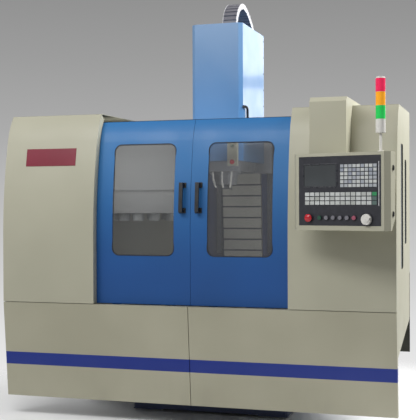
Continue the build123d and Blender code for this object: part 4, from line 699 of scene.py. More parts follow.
@dataclass
class Blank:
    """Sheet, bar and tube work on one closed mesh."""

    name: str
    mesh: bmesh.types.BMesh = field(default_factory=bmesh.new)

    def prism(self, outline: list[Vector], depth: Vector) -> None:
        """Add a solid between an outline and its copy moved by a depth."""
        near = [self.mesh.verts.new(point) for point in outline]
        far = [self.mesh.verts.new(point + depth) for point in outline]
        self.mesh.faces.new(near)
        self.mesh.faces.new(far[::-1])
        for place, vertex in enumerate(near):
            after = (place + 1) % len(near)
            self.mesh.faces.new((near[after], vertex, far[place], far[after]))

    def box(self, low: Point, high: Point) -> None:
        """Add a block between two corners."""
        outline = [
            Vector((x, y, low[2]))
            for x, y in ((low[0], low[1]), (high[0], low[1]), (high[0], high[1]), (low[0], high[1]))
        ]
        self.prism(outline, Vector((0, 0, high[2] - low[2])))

    def ring(self, outer: list[Vector], inner: list[Vector], depth: Vector) -> None:
        """Add a frame between an outer and an inner outline of the same number of points."""
        loops = [
            [self.mesh.verts.new(point + shift) for point in line]
            for line in (outer, inner)
            for shift in (Vector(), depth)
        ]
        order = (loops[0], loops[1], loops[3], loops[2])
        for turn, line in enumerate(order):
            beside = order[(turn + 1) % 4]
            for place, vertex in enumerate(line):
                after = (place + 1) % len(line)
                self.mesh.faces.new((vertex, line[after], beside[after], beside[place]))

    def tube(self, path: list[Vector], radius: float, sides: int = 12) -> None:
        """Add a round bar with closed ends along a path."""
        rings = []
        for place, point in enumerate(path):
            before, after = path[max(place - 1, 0)], path[min(place + 1, len(path) - 1)]
            turned = (after - before).to_track_quat("Z", "X")
            outline = (point + turned @ Vector((x, y, 0)) for x, y in circle(radius, sides))
            rings.append([self.mesh.verts.new(corner) for corner in outline])
        self.mesh.faces.new(rings[0])
        self.mesh.faces.new(rings[-1])
        for near, far in zip(rings, rings[1:]):
            for side in range(sides):
                after = (side + 1) % sides
                self.mesh.faces.new((near[side], near[after], far[after], far[side]))

    def finish(self, bevel: float = 0.0) -> bpy.types.Object:
        """Turn the faces outwards and make the object, its edges broken by a bevel."""
        bmesh.ops.recalc_face_normals(self.mesh, faces=self.mesh.faces[:])
        data = bpy.data.meshes.new(self.name)
        self.mesh.to_mesh(data)
        self.mesh.free()
        piece = add_object(self.name, data)
        break_edges(piece, bevel)
        return piece


def rounded(width: float, height: float, radius: float, steps: int = 6) -> list[Span]:
    """Trace a rectangle with round corners about the origin.

    Args:
        width: Its full width.
        height: Its full height.
        radius: Radius of its corners.
        steps: Number of sides that make up one corner.

    Returns:
        Its points, anticlockwise.
    """
    points = []
    for corner, (across, up) in enumerate(((1, 1), (-1, 1), (-1, -1), (1, -1))):
        for step in range(steps + 1):
            turn = math.pi / 2 * (corner + step / steps)
            points.append(
                (
                    across * (width / 2 - radius) + radius * math.cos(turn),
                    up * (height / 2 - radius) + radius * math.sin(turn),
                )
            )
    return points


@dataclass
class Recipe:
    """A Geometry Nodes tree with named sizes, which grows one plain mesh from a base mesh."""

    name: str
    sizes: dict[str, float | int | Point]
    tree: bpy.types.GeometryNodeTree = field(init=False)
    entry: bpy.types.Node = field(init=False)

    def __post_init__(self) -> None:
        """Make the tree with a socket for each size and for the finish."""
        self.tree = bpy.data.node_groups.new(self.name, "GeometryNodeTree")
        face = self.tree.interface
        face.new_socket("Geometry", in_out="INPUT", socket_type="NodeSocketGeometry")
        kinds = {float: "NodeSocketFloat", int: "NodeSocketInt", tuple: "NodeSocketVector"}
        for label, size in self.sizes.items():
            face.new_socket(label, in_out="INPUT", socket_type=kinds[type(size)])
        face.new_socket("Finish", in_out="INPUT", socket_type="NodeSocketMaterial")
        face.new_socket("Geometry", in_out="OUTPUT", socket_type="NodeSocketGeometry")
        self.entry = add_node(self.tree, "NodeGroupInput")

    def add(
        self,
        kind: str,
        settings: dict | None = None,
        inputs: dict | None = None,
        output: int | str = 0,
    ) -> Socket:
        """Add a node to the tree, as add_node does, and give one of its outputs."""
        return add_node(self.tree, kind, settings, inputs).outputs[output]

    def size(self, label: str) -> Socket:
        """Give the socket of a named size, or of the base mesh."""
        return self.entry.outputs[label]

    def close(self, shape: Socket) -> None:
        """End the tree: make instances real and set the finish."""
        real = self.add("GeometryNodeRealizeInstances", inputs={"Geometry": shape})
        dress = {"Geometry": real, "Material": self.size("Finish")}
        dressed = self.add("GeometryNodeSetMaterial", inputs=dress)
        add_node(self.tree, "NodeGroupOutput", inputs={"Geometry": dressed})

    def grow(
        self, piece_name: str, base: bpy.types.Mesh, finish: bpy.types.Material, bevel: float = 0.0
    ) -> bpy.types.Object:
        """Run the tree on a base mesh and keep the result as a plain mesh.

        Args:
            piece_name: Name of the new object.
            base: Points, edges or the shape that the tree works on.
            finish: Material of the result.
            bevel: Width of the broken edges, where it has them.

        Returns:
            The object with its final mesh and no modifier.
        """
        piece = add_object(piece_name, base)
        grown = piece.modifiers.new(self.name, "NODES")
        grown.node_group = self.tree
        values = {**self.sizes, "Finish": finish}
        for item in self.tree.interface.items_tree:
            if item.in_out == "INPUT" and item.name in values:
                grown[item.identifier] = values[item.name]
        break_edges(piece, bevel)
        shown = piece.evaluated_get(bpy.context.evaluated_depsgraph_get())
        made = bpy.data.meshes.new_from_object(shown)
        piece.modifiers.clear()
        piece.data = made
        made.name = piece_name
        return piece


def stations(name: str, places: list[Vector], joined: bool = False) -> bpy.types.Mesh:
    """Make a mesh of bare points for a recipe, joined to a line where asked."""
    mesh = bpy.data.meshes.new(name)
    edges = [(place, place + 1) for place in range(len(places) - 1)] if joined else []
    mesh.from_pydata([tuple(place) for place in places], edges, [])
    return mesh


@dataclass(frozen=True)
class ScrewRow:
    """A row of screws: the node that they hold, its ends off the surface, and their aim."""

    node: str
    start: Point
    end: Point
    aim: Point
    count: int
    radius: float = 0.005


@dataclass
class Fasteners:
    """Socket-head cap screws of one body, each seated on the surface that it holds."""

    body: str
    rows: tuple[ScrewRow, ...]
    head_height: float = 0.9
    chamfer: float = 0.86
    socket_width: float = 0.56
    socket_depth: float = 0.55
    chamfer_rise: float = 0.12
    sides: int = 12

    def seats(self) -> tuple[list[Vector], list[Vector], list[float]]:
        """Find where each screw meets its surface.

        Returns:
            The places, the directions that the heads face, and the heads' radii.
        """
        places, facings, radii = [], [], []
        for row in self.rows:
            node = frame["nodes"][row.node]
            for number in range(row.count):
                share = number / max(row.count - 1, 1)
                origin = Vector(row.start).lerp(Vector(row.end), share)
                hit, place, facing, _ = node.ray_cast(origin, Vector(row.aim))
                if hit:
                    places.append(place)
                    facings.append(facing)
                    radii.append(row.radius)
        return places, facings, radii

    def recipe(self) -> Recipe:
        """Build the tree of one head: a cylinder, a chamfer and a sunk socket, on each point."""
        recipe = Recipe(
            "cap_screws",
            {
                "Sides": self.sides,
                "Head height": self.head_height,
                "Chamfer": self.chamfer,
                "Socket width": self.socket_width,
                "Socket depth": self.socket_depth,
            },
        )
        shape = {"Vertices": recipe.size("Sides"), "Depth": recipe.size("Head height")}
        head = add_node(
            recipe.tree, "GeometryNodeMeshCylinder", {"fill_type": "NGON"}, {**shape, "Radius": 1.0}
        )
        mesh, top = head.outputs["Mesh"], head.outputs["Top"]
        sunk = {0: recipe.size("Socket depth"), 1: -1.0}
        sunk = recipe.add("ShaderNodeMath", {"operation": "MULTIPLY"}, sunk)
        for rise, width in ((self.chamfer_rise, "Chamfer"), (0.0, "Socket width"), (sunk, "")):
            pushed = add_node(
                recipe.tree,
                "GeometryNodeExtrudeMesh",
                {"mode": "FACES"},
                {"Mesh": mesh, "Selection": top, "Offset Scale": rise, "Individual": False},
            )
            mesh, top = pushed.outputs["Mesh"], pushed.outputs["Top"]
            if width:
                inputs = {"Geometry": mesh, "Selection": top, "Scale": recipe.size(width)}
                mesh = recipe.add("GeometryNodeScaleElements", inputs=inputs)
        facing, radius = (
            recipe.add("GeometryNodeInputNamedAttribute", {"data_type": kind}, {"Name": name})
            for kind, name in (("FLOAT_VECTOR", "facing"), ("FLOAT", "radius"))
        )
        turned = recipe.add("FunctionNodeAlignRotationToVector", {"axis": "Z"}, {"Vector": facing})
        seats = recipe.size("Geometry")
        heads = {"Points": seats, "Instance": mesh, "Rotation": turned, "Scale": radius}
        recipe.close(recipe.add("GeometryNodeInstanceOnPoints", inputs=heads))
        return recipe

    def build(self, shop: Paintshop) -> None:
        """Seat the body's screws and make them one piece."""
        places, facings, radii = self.seats()
        base = stations(f"{self.body}_seats", places)
        facing = base.attributes.new("facing", "FLOAT_VECTOR", "POINT")
        facing.data.foreach_set("vector", [part for way in facings for part in way])
        radius = base.attributes.new("radius", "FLOAT", "POINT")
        radius.data.foreach_set("value", radii)
        piece = self.recipe().grow(f"{self.body}_screws", base, shop.material("screw_steel"))
        shop.fit(piece, self.body, "ground_steel", "screw_steel")


@dataclass
class CableChain:
    """Link plates and cross bars of the plastic chain that arches over the head cover."""

    centre: Point = (0.073, 0.11, 2.64)
    reach: float = 0.6
    first_angle: float = 4.0
    last_angle: float = 176.0
    rays: int = 44
    pitch: float = 0.031
    left: float = 0.026
    right: float = 0.120
    plate: float = 0.003
    link_height: float = 0.039
    link_length: float = 0.037
    bar_width: float = 0.025
    bar_height: float = 0.0035

    def middle(self) -> list[Vector]:
        """Trace the middle of the solid arch by looking at it from inside and from outside."""
        node = frame["nodes"]["drag_chain"]
        centre = Vector(self.centre)
        path = []
        for number in range(self.rays):
            share = number / (self.rays - 1)
            turn = math.radians(self.first_angle + share * (self.last_angle - self.first_angle))
            way = Vector((0, math.cos(turn), math.sin(turn)))
            inner = node.ray_cast(centre, way)
            outer = node.ray_cast(centre + self.reach * way, -way)
            if inner[0] and outer[0]:
                path.append((inner[1] + outer[1]) / 2)
        return path

    def recipe(self, link: bpy.types.Object) -> Recipe:
        """Build the tree that sets a link at each pitch of the path, turned along it."""
        recipe = Recipe(f"chain_{link.name}", {"Pitch": self.pitch})
        line = recipe.add("GeometryNodeMeshToCurve", inputs={"Mesh": recipe.size("Geometry")})
        spacing = {"Curve": line, "Length": recipe.size("Pitch")}
        spaced = recipe.add("GeometryNodeResampleCurve", {"mode": "LENGTH"}, spacing)
        points = add_node(
            recipe.tree, "GeometryNodeCurveToPoints", {"mode": "EVALUATED"}, {"Curve": spaced}
        ).outputs
        turned = recipe.add(
            "FunctionNodeAlignRotationToVector",
            {"axis": "Y", "pivot_axis": "X"},
            {"Vector": points["Tangent"]},
        )
        shape = recipe.add("GeometryNodeObjectInfo", inputs={"Object": link}, output="Geometry")
        links = {"Points": points["Points"], "Instance": shape, "Rotation": turned}
        recipe.close(recipe.add("GeometryNodeInstanceOnPoints", inputs=links))
        return recipe

    def side_plates(self) -> bpy.types.Object:
        """Make one link's two side plates, with round ends that overlap their neighbours."""
        blank = Blank("side_plates")
        outline = rounded(self.link_length, self.link_height, 0.012)
        for face in (self.left - self.plate, self.right):
            blank.prism([Vector((face, y, z)) for y, z in outline], Vector((self.plate, 0, 0)))
        return blank.finish()

    def cross_bars(self) -> bpy.types.Object:
        """Make one link's two cross bars, which snap between its side plates."""
        blank = Blank("cross_bars")
        half = self.link_height / 2 - 0.001
        for side in (1, -1):
            levels = sorted((side * half, side * (half - self.bar_height)))
            blank.box(
                (self.left, -self.bar_width / 2, levels[0]),
                (self.right, self.bar_width / 2, levels[1]),
            )
        return blank.finish()

    def build(self, shop: Paintshop) -> None:
        """Set the links along the arch, the plates pale and the bars grey."""
        path = [Vector((0, place.y, place.z)) for place in self.middle()]
        for link, finish in (
            (self.side_plates(), "chain_plates"),
            (self.cross_bars(), "grey_plastic"),
        ):
            base = stations(f"{link.name}_path", path, joined=True)
            material = shop.material(finish)
            piece = self.recipe(link).grow(f"chain_{link.name}", base, material, FINE_EDGE)
            bpy.data.objects.remove(link)
            shop.fit(piece, "spindle_head", "grey_plastic", finish)


@dataclass
class DoorTrim:
    """Rubber gaskets round the curved windows of both sliding doors."""

    inner: float = 0.112
    outer: float = 0.535
    low: float = 1.086
    high: float = 1.805
    corner: float = 0.045
    skin: float = -0.818
    bend_start: float = 1.18
    bend_radius: float = 3.043
    bead: float = 0.0034
    bead_sides: int = 8
    spacing: float = 0.012

    def on_skin(self, across: float, height: float) -> Vector:
        """Find the place on the doors' outer skin at a distance across and a height."""
        rise = max(height - self.bend_start, 0.0)
        depth = self.skin + self.bend_radius - math.sqrt(self.bend_radius**2 - rise**2)
        return Vector((across, depth, height))

    def build(self, shop: Paintshop) -> None:
        """Run a bead round each window opening."""
        recipe = Recipe(
            "window_gasket", {"Bead": self.bead, "Sides": self.bead_sides, "Spacing": self.spacing}
        )
        line = recipe.add("GeometryNodeMeshToCurve", inputs={"Mesh": recipe.size("Geometry")})
        spacing = {"Curve": line, "Length": recipe.size("Spacing")}
        spaced = recipe.add("GeometryNodeResampleCurve", {"mode": "LENGTH"}, spacing)
        section = {"Resolution": recipe.size("Sides"), "Radius": recipe.size("Bead")}
        bead = recipe.add("GeometryNodeCurvePrimitiveCircle", {"mode": "RADIUS"}, section)
        sweep = {"Curve": spaced, "Profile Curve": bead}
        recipe.close(recipe.add("GeometryNodeCurveToMesh", inputs=sweep))
        width, height = self.outer - self.inner, self.high - self.low
        middle = ((self.outer + self.inner) / 2, (self.high + self.low) / 2)
        for side, name in ((-1, "left"), (1, "right")):
            places = [
                self.on_skin(side * (middle[0] + x), middle[1] + z)
                for x, z in rounded(width, height, self.corner, 10)
            ]
            base = stations(f"{name}_gasket_path", places, joined=True)
            base.edges.add(1)
            base.edges[-1].vertices = (len(places) - 1, 0)
            piece = recipe.grow(f"{name}_gasket", base, shop.material("gasket_rubber"))
            shop.fit(piece, f"{name}_door", "black_plastic", "gasket_rubber")


@dataclass
class SlotPanes:
    """Tinted panes behind the tall slots of both side walls."""

    middles: tuple[float, ...] = (-0.563, -0.358)
    widths: tuple[float, ...] = (0.125, 0.105)
    lows: tuple[float, ...] = (1.008, 1.155)
    highs: tuple[float, ...] = (1.784, 1.693)
    lap: float = 0.012
    inner_face: float = 1.2935
    thickness: float = 0.0034
    corner: float = 0.026

    def build(self, shop: Paintshop) -> None:
        """Lay one pane behind each slot, lapped all round."""
        blank = Blank("slot_panes")
        for side in (1, -1):
            for middle, width, low, high in zip(self.middles, self.widths, self.lows, self.highs):
                outline = rounded(width + 2 * self.lap, high - low + 2 * self.lap, self.corner)
                face = side * (self.inner_face - self.thickness / 2)
                blank.prism(
                    [Vector((face, middle + y, (low + high) / 2 + z)) for y, z in outline],
                    Vector((side * self.thickness, 0, 0)),
                )
        shop.fit(blank.finish(), "machine_frame", "smoked_glass", "slot_panes")


@dataclass
class WayCover:
    """Telescopic steel cover of the column's ways: lapped plates with a folded lower lip."""

    half_width: float = 0.15
    low: float = 0.9
    high: float = 1.64
    plates: int = 9
    lowest_face: float = 0.452
    step_forward: float = 0.0055
    sheet: float = 0.0025
    lap: float = 0.012
    lip: float = 0.012
    # The rubber strips' dark lines also stand in for the shade under each plate's lip
    shade_line_wiper_low: float = 0.006
    shade_line_wiper_high: float = 0.005
    kept_share: float = 0.3

    flange: float = 0.02

    def plate(self, pitch: float) -> bpy.types.Object:
        """Fold the lowest plate: its face, its lower lip and its two side flanges."""
        blank = Blank("cover_plates")
        half, face, foot = self.half_width, self.lowest_face, self.low
        blank.box((-half, face, foot), (half, face + self.sheet, foot + pitch + self.lap))
        blank.box((-half, face, foot), (half, face + self.lip, foot + self.sheet))
        for side in (-1, 1):
            ends = sorted((side * half, side * (half - self.sheet)))
            blank.box((ends[0], face, foot), (ends[1], face + self.flange, foot + pitch))
        return blank.finish()

    def wiper(self) -> bpy.types.Object:
        """Make the black rubber strip clamped along the lowest plate's lower edge: a real part that
        also stands in for the shade under the plate's lip.
        """
        blank = Blank("cover_wipers")
        blank.box(
            (-self.half_width, self.lowest_face - self.sheet, self.low - self.shade_line_wiper_low),
            (self.half_width, self.lowest_face + self.sheet, self.low + self.shade_line_wiper_high),
        )
        return blank.finish()

    def build(self, shop: Paintshop) -> None:
        """Stack plates and rubber wipers, each a sheet further out than the one below it; the
        wipers' dark lines also stand in for the shade under each lip.
        """
        pitch = (self.high - self.low) / self.plates
        recipe = Recipe(
            "telescopic_cover", {"Plates": self.plates, "Step": (0.0, -self.step_forward, pitch)}
        )
        steps = {"Count": recipe.size("Plates"), "Offset": recipe.size("Step")}
        line = recipe.add("GeometryNodeMeshLine", {"mode": "OFFSET"}, steps)
        stack = {"Points": line, "Instance": recipe.size("Geometry")}
        recipe.close(recipe.add("GeometryNodeInstanceOnPoints", inputs=stack))
        for first, slot, finish in (
            (self.plate(pitch), "galvanised", "cover_plates"),
            (self.wiper(), "black_plastic", "gasket_rubber"),
        ):
            piece = recipe.grow(f"way_{first.name}", first.data, shop.material(finish))
            bpy.data.objects.remove(first)
            shop.fit(piece, "machine_frame", slot, finish)
            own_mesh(piece)


@dataclass
class CoolantNozzles:
    """Segmented coolant hoses under the headstock, bent towards the tool's tip."""

    across: tuple[float, ...] = (-0.062, 0.006, 0.076)
    drop: tuple[tuple[float, float], ...] = (
        (-0.122, 1.646),
        (-0.124, 1.618),
        (-0.123, 1.59),
        (-0.116, 1.563),
        (-0.103, 1.54),
    )
    pull_in: float = 0.78
    pitch: float = 0.0105
    bead: float = 0.0072

    def build(self, shop: Paintshop) -> None:
        """String the ball-jointed segments along each hose."""
        recipe = Recipe("segmented_hoses", {"Pitch": self.pitch, "Bead": self.bead})
        line = recipe.add("GeometryNodeMeshToCurve", inputs={"Mesh": recipe.size("Geometry")})
        spacing = {"Curve": line, "Length": recipe.size("Pitch")}
        points = add_node(
            recipe.tree, "GeometryNodeCurveToPoints", {"mode": "LENGTH"}, spacing
        ).outputs
        along = {"Vector": points["Tangent"]}
        turned = recipe.add("FunctionNodeAlignRotationToVector", {"axis": "Z"}, along)
        cup = {"Vertices": 14, "Radius Top": 0.8, "Radius Bottom": 1.0, "Depth": 1.7}
        segment = recipe.add("GeometryNodeMeshCone", {"fill_type": "NGON"}, cup, "Mesh")
        placed = {"Points": points["Points"], "Instance": segment, "Rotation": turned}
        placed["Scale"] = recipe.size("Bead")
        recipe.close(recipe.add("GeometryNodeInstanceOnPoints", inputs=placed))
        mesh = bpy.data.meshes.new("hose_paths")
        last = len(self.drop) - 1
        places = [
            (x * (1 - (1 - self.pull_in) * (step / last) ** 2), y, z)
            for x in self.across
            for step, (y, z) in enumerate(self.drop)
        ]
        ends = range(1, len(places))
        edges = [(place - 1, place) for place in ends if place % len(self.drop)]
        mesh.from_pydata(places, edges, [])
        piece = recipe.grow("coolant_nozzles", mesh, shop.material("hose_grey"), SHEET_EDGE)
        shop.fit(piece, "spindle_head", "white_plastic", "hose_grey")


@dataclass
class MagazineGuard:
    """Folded sheet cover in front of the tool drum, hung from the sliding carriage."""

    left: float = -0.9
    right: float = -0.23
    low: float = 1.513
    high: float = 1.862
    band_low: float = 1.352
    face: float = -0.362
    band_back: float = 0.018
    sheet: float = 0.002
    fold: float = 0.03
    corner: float = 0.012
    band_lip: float = 0.016
    bracket_places: tuple[float, ...] = (-0.62, -0.5)
    bracket_half: float = 0.02
    bracket_low: float = 1.572
    bracket_high: float = 1.604
    bracket_sheet: float = 0.005
    carriage_face: float = -0.069

    def build(self, shop: Paintshop) -> None:
        """Fold the plates and carry them on two brackets."""
        blank = Blank("magazine_guard")
        left, right, corner, sheet = self.left, self.right, self.corner, self.sheet
        width, height = right - left, self.high - self.low
        middle = ((left + right) / 2, (self.low + self.high) / 2)
        outline = rounded(width, height, corner, 4)
        blank.prism(
            [Vector((middle[0] + x, self.face, middle[1] + z)) for x, z in outline],
            Vector((0, sheet, 0)),
        )
        for level in (self.low, self.high - sheet):
            fold = self.face + self.fold
            blank.box((left + corner, self.face, level), (right - corner, fold, level + sheet))
        back, low = self.face + self.band_back, self.band_low
        blank.box((left, back, low), (right, back + sheet, self.low + corner))
        blank.box((left, back, low), (right, back + self.band_lip, low + sheet))
        start, thick = self.face + sheet, self.bracket_sheet
        low, high = self.bracket_low, self.bracket_high
        for place in self.bracket_places:
            ends = (place - self.bracket_half, place + self.bracket_half)
            for near, far, top in (
                (start, self.carriage_face, low + thick),
                (start, start + thick, high),
                (self.carriage_face - thick, self.carriage_face, high),
            ):
                blank.box((ends[0], near, low), (ends[1], far, top))
        shop.fit(blank.finish(SHEET_EDGE), "magazine_carriage", "painted_grey", "guard_grey")


@dataclass
class HeadTrim:
    """Lamp and stop caps of the head's switch box, and the pipe elbow on its cover."""

    box_face: float = -0.262
    box_middle: float = 0.12
    green_height: float = 1.812
    red_height: float = 1.703
    cap_radius: float = 0.0125
    cap_depth: float = 0.011
    cap_sides: int = 24
    side: float = 0.1825
    pipe_radius: float = 0.0085
    stand_off: float = 0.013

    def cap(self, name: str, height: float, radius: float) -> bpy.types.Object:
        """Make a round cap with a stepped collar on the front of the switch box."""
        blank = Blank(name)
        for share, depth in ((1.3, 0.35), (1.0, 1.0)):
            outline = circle(share * radius, self.cap_sides)
            blank.prism(
                [Vector((self.box_middle + x, self.box_face, height + z)) for x, z in outline],
                Vector((0, -depth * self.cap_depth, 0)),
            )
        return blank.finish(CAP_EDGE)

    def elbow(self) -> bpy.types.Object:
        """Bend the pipe out of the cover, back along it and down into it again."""
        out = self.side + self.stand_off
        corners = (
            (self.side - 0.002, -0.2, 2.086),
            (out - 0.004, -0.2, 2.086),
            (out, -0.193, 2.086),
            (out, -0.15, 2.084),
            (out, -0.137, 2.078),
            (out, -0.132, 2.064),
            (out, -0.13, 1.985),
            (out - 0.003, -0.13, 1.975),
            (self.side - 0.002, -0.13, 1.97),
        )
        blank = Blank("cover_pipe")
        blank.tube([Vector(corner) for corner in corners], self.pipe_radius)
        return blank.finish()

    def build(self, shop: Paintshop) -> None:
        """Fit the caps and the elbow."""
        green = self.cap("switch_green_cap", self.green_height, 0.7 * self.cap_radius)
        shop.fit(green, "spindle_head", "green_plastic", "push_button_1")
        red = self.cap("switch_red_cap", self.red_height, self.cap_radius)
        shop.fit(red, "spindle_head", "red_plastic")
        shop.fit(self.elbow(), "spindle_head", "black_plastic")


@dataclass
class PendantTrim:
    """Screen bezel, side strip and two quarter-turn latches of the operator pendant."""

    screen_left: float = -0.2265
    screen_right: float = -0.0175
    screen_low: float = 1.514
    screen_high: float = 1.640
    bezel: float = 0.006
    bezel_sunk: float = 0.0005
    bezel_rise: float = 0.0042
    corner: float = 0.004
    strip_across: float = 0.2465
    strip_low: float = 1.402
    strip_high: float = 1.652
    strip_width: float = 0.0036
    strip_rise: float = 0.0045
    latch_heights: tuple[float, ...] = (1.614, 1.356)
    latch_out: float = -0.056
    latch_width: float = 0.013
    latch_length: float = 0.032
    latch_corner: float = 0.0064
    latch_steps: tuple[Span, ...] = ((1.0, 0.004), (0.72, 0.0075))

    def frame_ring(self) -> bpy.types.Object:
        """Make the raised frame round the screen."""
        blank = Blank("screen_bezel")
        width, height = self.screen_right - self.screen_left, self.screen_high - self.screen_low
        across = (self.screen_left + self.screen_right) / 2
        level = (self.screen_low + self.screen_high) / 2
        lines = [
            [
                on_pendant(across + u, level + z, self.bezel_sunk)
                for u, z in rounded(width + 2 * grow, height + 2 * grow, self.corner + grow, 4)
            ]
            for grow in (self.bezel, 0.0)
        ]
        blank.ring(lines[0], lines[1], self.bezel_rise * PENDANT_OUT)
        return blank.finish(MOULDED_EDGE)

    def strip(self) -> bpy.types.Object:
        """Make the pale strip that closes the control panel's right edge."""
        blank = Blank("panel_strip")
        half = self.strip_width / 2
        outline = [
            on_pendant(self.strip_across + u, z, 0.0)
            for u, z in (
                (-half, self.strip_low),
                (half, self.strip_low),
                (half, self.strip_high),
                (-half, self.strip_high),
            )
        ]
        blank.prism(outline, self.strip_rise * PENDANT_OUT)
        return blank.finish(FINE_EDGE)

    def latches(self) -> bpy.types.Object:
        """Seat the two oval latches on the housing's right side, each with its key slot."""
        blank = Blank("pendant_latches")
        housing = frame["nodes"]["pendant_housing"]
        for height in self.latch_heights:
            hit, place, facing, _ = housing.ray_cast(
                on_pendant(1.0, height, self.latch_out), -PENDANT_ACROSS
            )
            if not hit:
                continue
            along = facing.cross(Vector((0, 0, 1)))
            outline = rounded(self.latch_width, self.latch_length, self.latch_corner, 8)
            for share, depth in self.latch_steps:
                blank.prism(
                    [place + share * (u * along + Vector((0, 0, z))) for u, z in outline],
                    depth * facing,
                )
        return blank.finish(SHEET_EDGE)

    def build(self, shop: Paintshop) -> None:
        """Fit the trim to the pendant."""
        shop.fit(self.frame_ring(), "pendant", "black_plastic", "bezel_black")
        shop.fit(self.strip(), "pendant", "grey_plastic", "chain_plates")
        shop.fit(self.latches(), "pendant", "black_plastic")


@dataclass
class CabinetTrim:
    """Louvres and swing latch of the electrical cabinet's door."""

    face: float = 1.2244
    louvre_length: float = 0.15
    louvre_depth: float = 0.009
    louvre_height: float = 0.013
    columns: tuple[float, ...] = (-0.2, 0.0, 0.2)
    levels: tuple[float, ...] = (0.66, 1.72)
    rows: int = 7
    pitch: float = 0.022
    latch_across: float = 0.372
    latch_height: float = 1.2

    def louvres(self, shop: Paintshop) -> None:
        """Press the rows of louvres, each a hood that is open at its lower side."""
        blank = Blank("louvre")
        half, deep, tall = self.louvre_length / 2, self.louvre_depth, self.louvre_height
        steps = ((0.0, 1.0), (0.45, 0.86), (0.85, 0.45), (1.0, 0.0), (0.0, 0.0))
        blank.prism(
            [Vector((-half, self.face - 0.0005 + y * deep, z * tall)) for y, z in steps],
            Vector((self.louvre_length, 0, 0)),
        )
        louvre = blank.finish()
        recipe = Recipe("louvre_rows", {"Rows": self.rows, "Step": (0.0, 0.0, self.pitch)})
        steps = {"Count": recipe.size("Rows"), "Offset": recipe.size("Step")}
        line = recipe.add("GeometryNodeMeshLine", {"mode": "OFFSET"}, steps)
        column = {"Points": recipe.size("Geometry"), "Instance": line}
        column = recipe.add("GeometryNodeInstanceOnPoints", inputs=column)
        rows = recipe.add("GeometryNodeRealizeInstances", inputs={"Geometry": column})
        shape = recipe.add("GeometryNodeObjectInfo", inputs={"Object": louvre}, output="Geometry")
        placed = {"Points": rows, "Instance": shape}
        recipe.close(recipe.add("GeometryNodeInstanceOnPoints", inputs=placed))
        feet = [Vector((x, 0, z)) for z in self.levels for x in self.columns]
        base = stations("louvre_feet", feet)
        piece = recipe.grow("cabinet_louvres", base, shop.material("painted_beige"), MOULDED_EDGE)
        bpy.data.objects.remove(louvre)
        shop.fit(piece, "cabinet_door", "painted_beige")

    def latch(self) -> bpy.types.Object:
        """Make the swing latch: its long plate and its lever."""
        blank = Blank("cabinet_latch")
        for width, height, radius, start, depth in (
            (0.03, 0.14, 0.014, 0.0, 0.005),
            (0.02, 0.11, 0.009, 0.005, 0.009),
        ):
            blank.prism(
                [
                    Vector((self.latch_across + x, self.face + start, self.latch_height + z))
                    for x, z in rounded(width, height, radius)
                ],
                Vector((0, depth, 0)),
            )
        return blank.finish(MOULDED_EDGE)

    def build(self, shop: Paintshop) -> None:
        """Fit the louvres and the latch."""
        self.louvres(shop)
        shop.fit(self.latch(), "cabinet_door", "black_plastic")


# Each row ends with the number of its screws and, where it isn't 5 mm, their heads' radius
SCREWS = (
    Fasteners(
        "machine_frame",
        (
            *(
                ScrewRow("roof_panels", (side * x, y, 2.3), (side * far_x, far_y, 2.3), DOWN, count)
                for x, y, far_x, far_y, count in (
                    (1.272, -0.69, 1.272, -0.14, 5),
                    (1.24, 0.541, 0.36, 0.541, 7),
                )
                for side in (-1, 1)
            ),
            *(
                ScrewRow("rear_walls", (side * 1.0, 1.5, z), (side * 0.45, 1.5, z), FORWARD, 5)
                for side in (-1, 1)
                for z in (0.79, 1.4, 1.985)
            ),
            *(
                ScrewRow("rear_walls", (x, 1.5, 0.5), (x, 1.5, 1.96), FORWARD, 7)
                for x in (-1.275, 1.275)
            ),
            *(
                ScrewRow("coolant_tank", (-1.08, y, 1.0), (-0.56, y, 1.0), DOWN, 6)
                for y in (0.04, 0.67)
            ),
            *(
                ScrewRow("axis_motors", (x, 0.52, 2.6), (x, 0.7, 2.6), DOWN, 2, 0.007)
                for x in (-0.085, 0.085)
            ),
            *(
                ScrewRow("axis_motors", (x, -1.2, 0.422), (x, -1.2, 0.518), (0, 1, 0), 2, 0.005)
                for x in (-0.048, 0.048)
            ),
        ),
    ),
    Fasteners(
        "saddle",
        tuple(
            ScrewRow("x_motor", (1.2, y, 0.64), (1.2, y, 0.74), (-1, 0, 0), 2, 0.005)
            for y in (-0.049, 0.049)
        ),
    ),
    Fasteners(
        "spindle_head",
        (
            *(
                ScrewRow(
                    "head_cover", (side, 0.372, 1.78), (side, 0.372, 2.62), (-side, 0, 0), 8, 0.004
                )
                for side in (-1, 1)
            ),
            *(
                ScrewRow("headstock", (side, y, 1.67), (side, y, 1.71), (-side, 0, 0), 2, 0.006)
                for side in (-1, 1)
                for y in (0.05, 0.28)
            ),
        ),
    ),
    Fasteners(
        "pendant",
        tuple(
            ScrewRow(
                "pendant_housing",
                tuple(on_pendant(-0.24, z, -0.6)),
                tuple(on_pendant(0.26, z, -0.6)),
                tuple(PENDANT_OUT),
                3,
                0.004,
            )
            for z in (1.345, 1.685)
        ),
    ),
)


@dataclass
class SoftBox:
    """A flat studio lamp: where it stands, what it points at, its size and power."""

    name: str
    place: Point
    target: Point
    width: float
    height: float
    power: float
    glossy: bool = True

    def build(self) -> None:
        """Make the lamp and turn it to its target."""
        """Make the lamp and turn it to its target."""
        lamp = bpy.data.lights.new(self.name, "AREA")
        lamp.shape = "RECTANGLE"
        lamp.size = self.width
        lamp.size_y = self.height
        lamp.energy = self.power
        holder = add_object(self.name, lamp)
        holder.location = self.place
        aim = Vector(self.target) - Vector(self.place)
        holder.rotation_mode = "QUATERNION"
        holder.rotation_quaternion = aim.to_track_quat("-Z", "Y")
        holder.visible_camera = False
        holder.visible_glossy = self.glossy


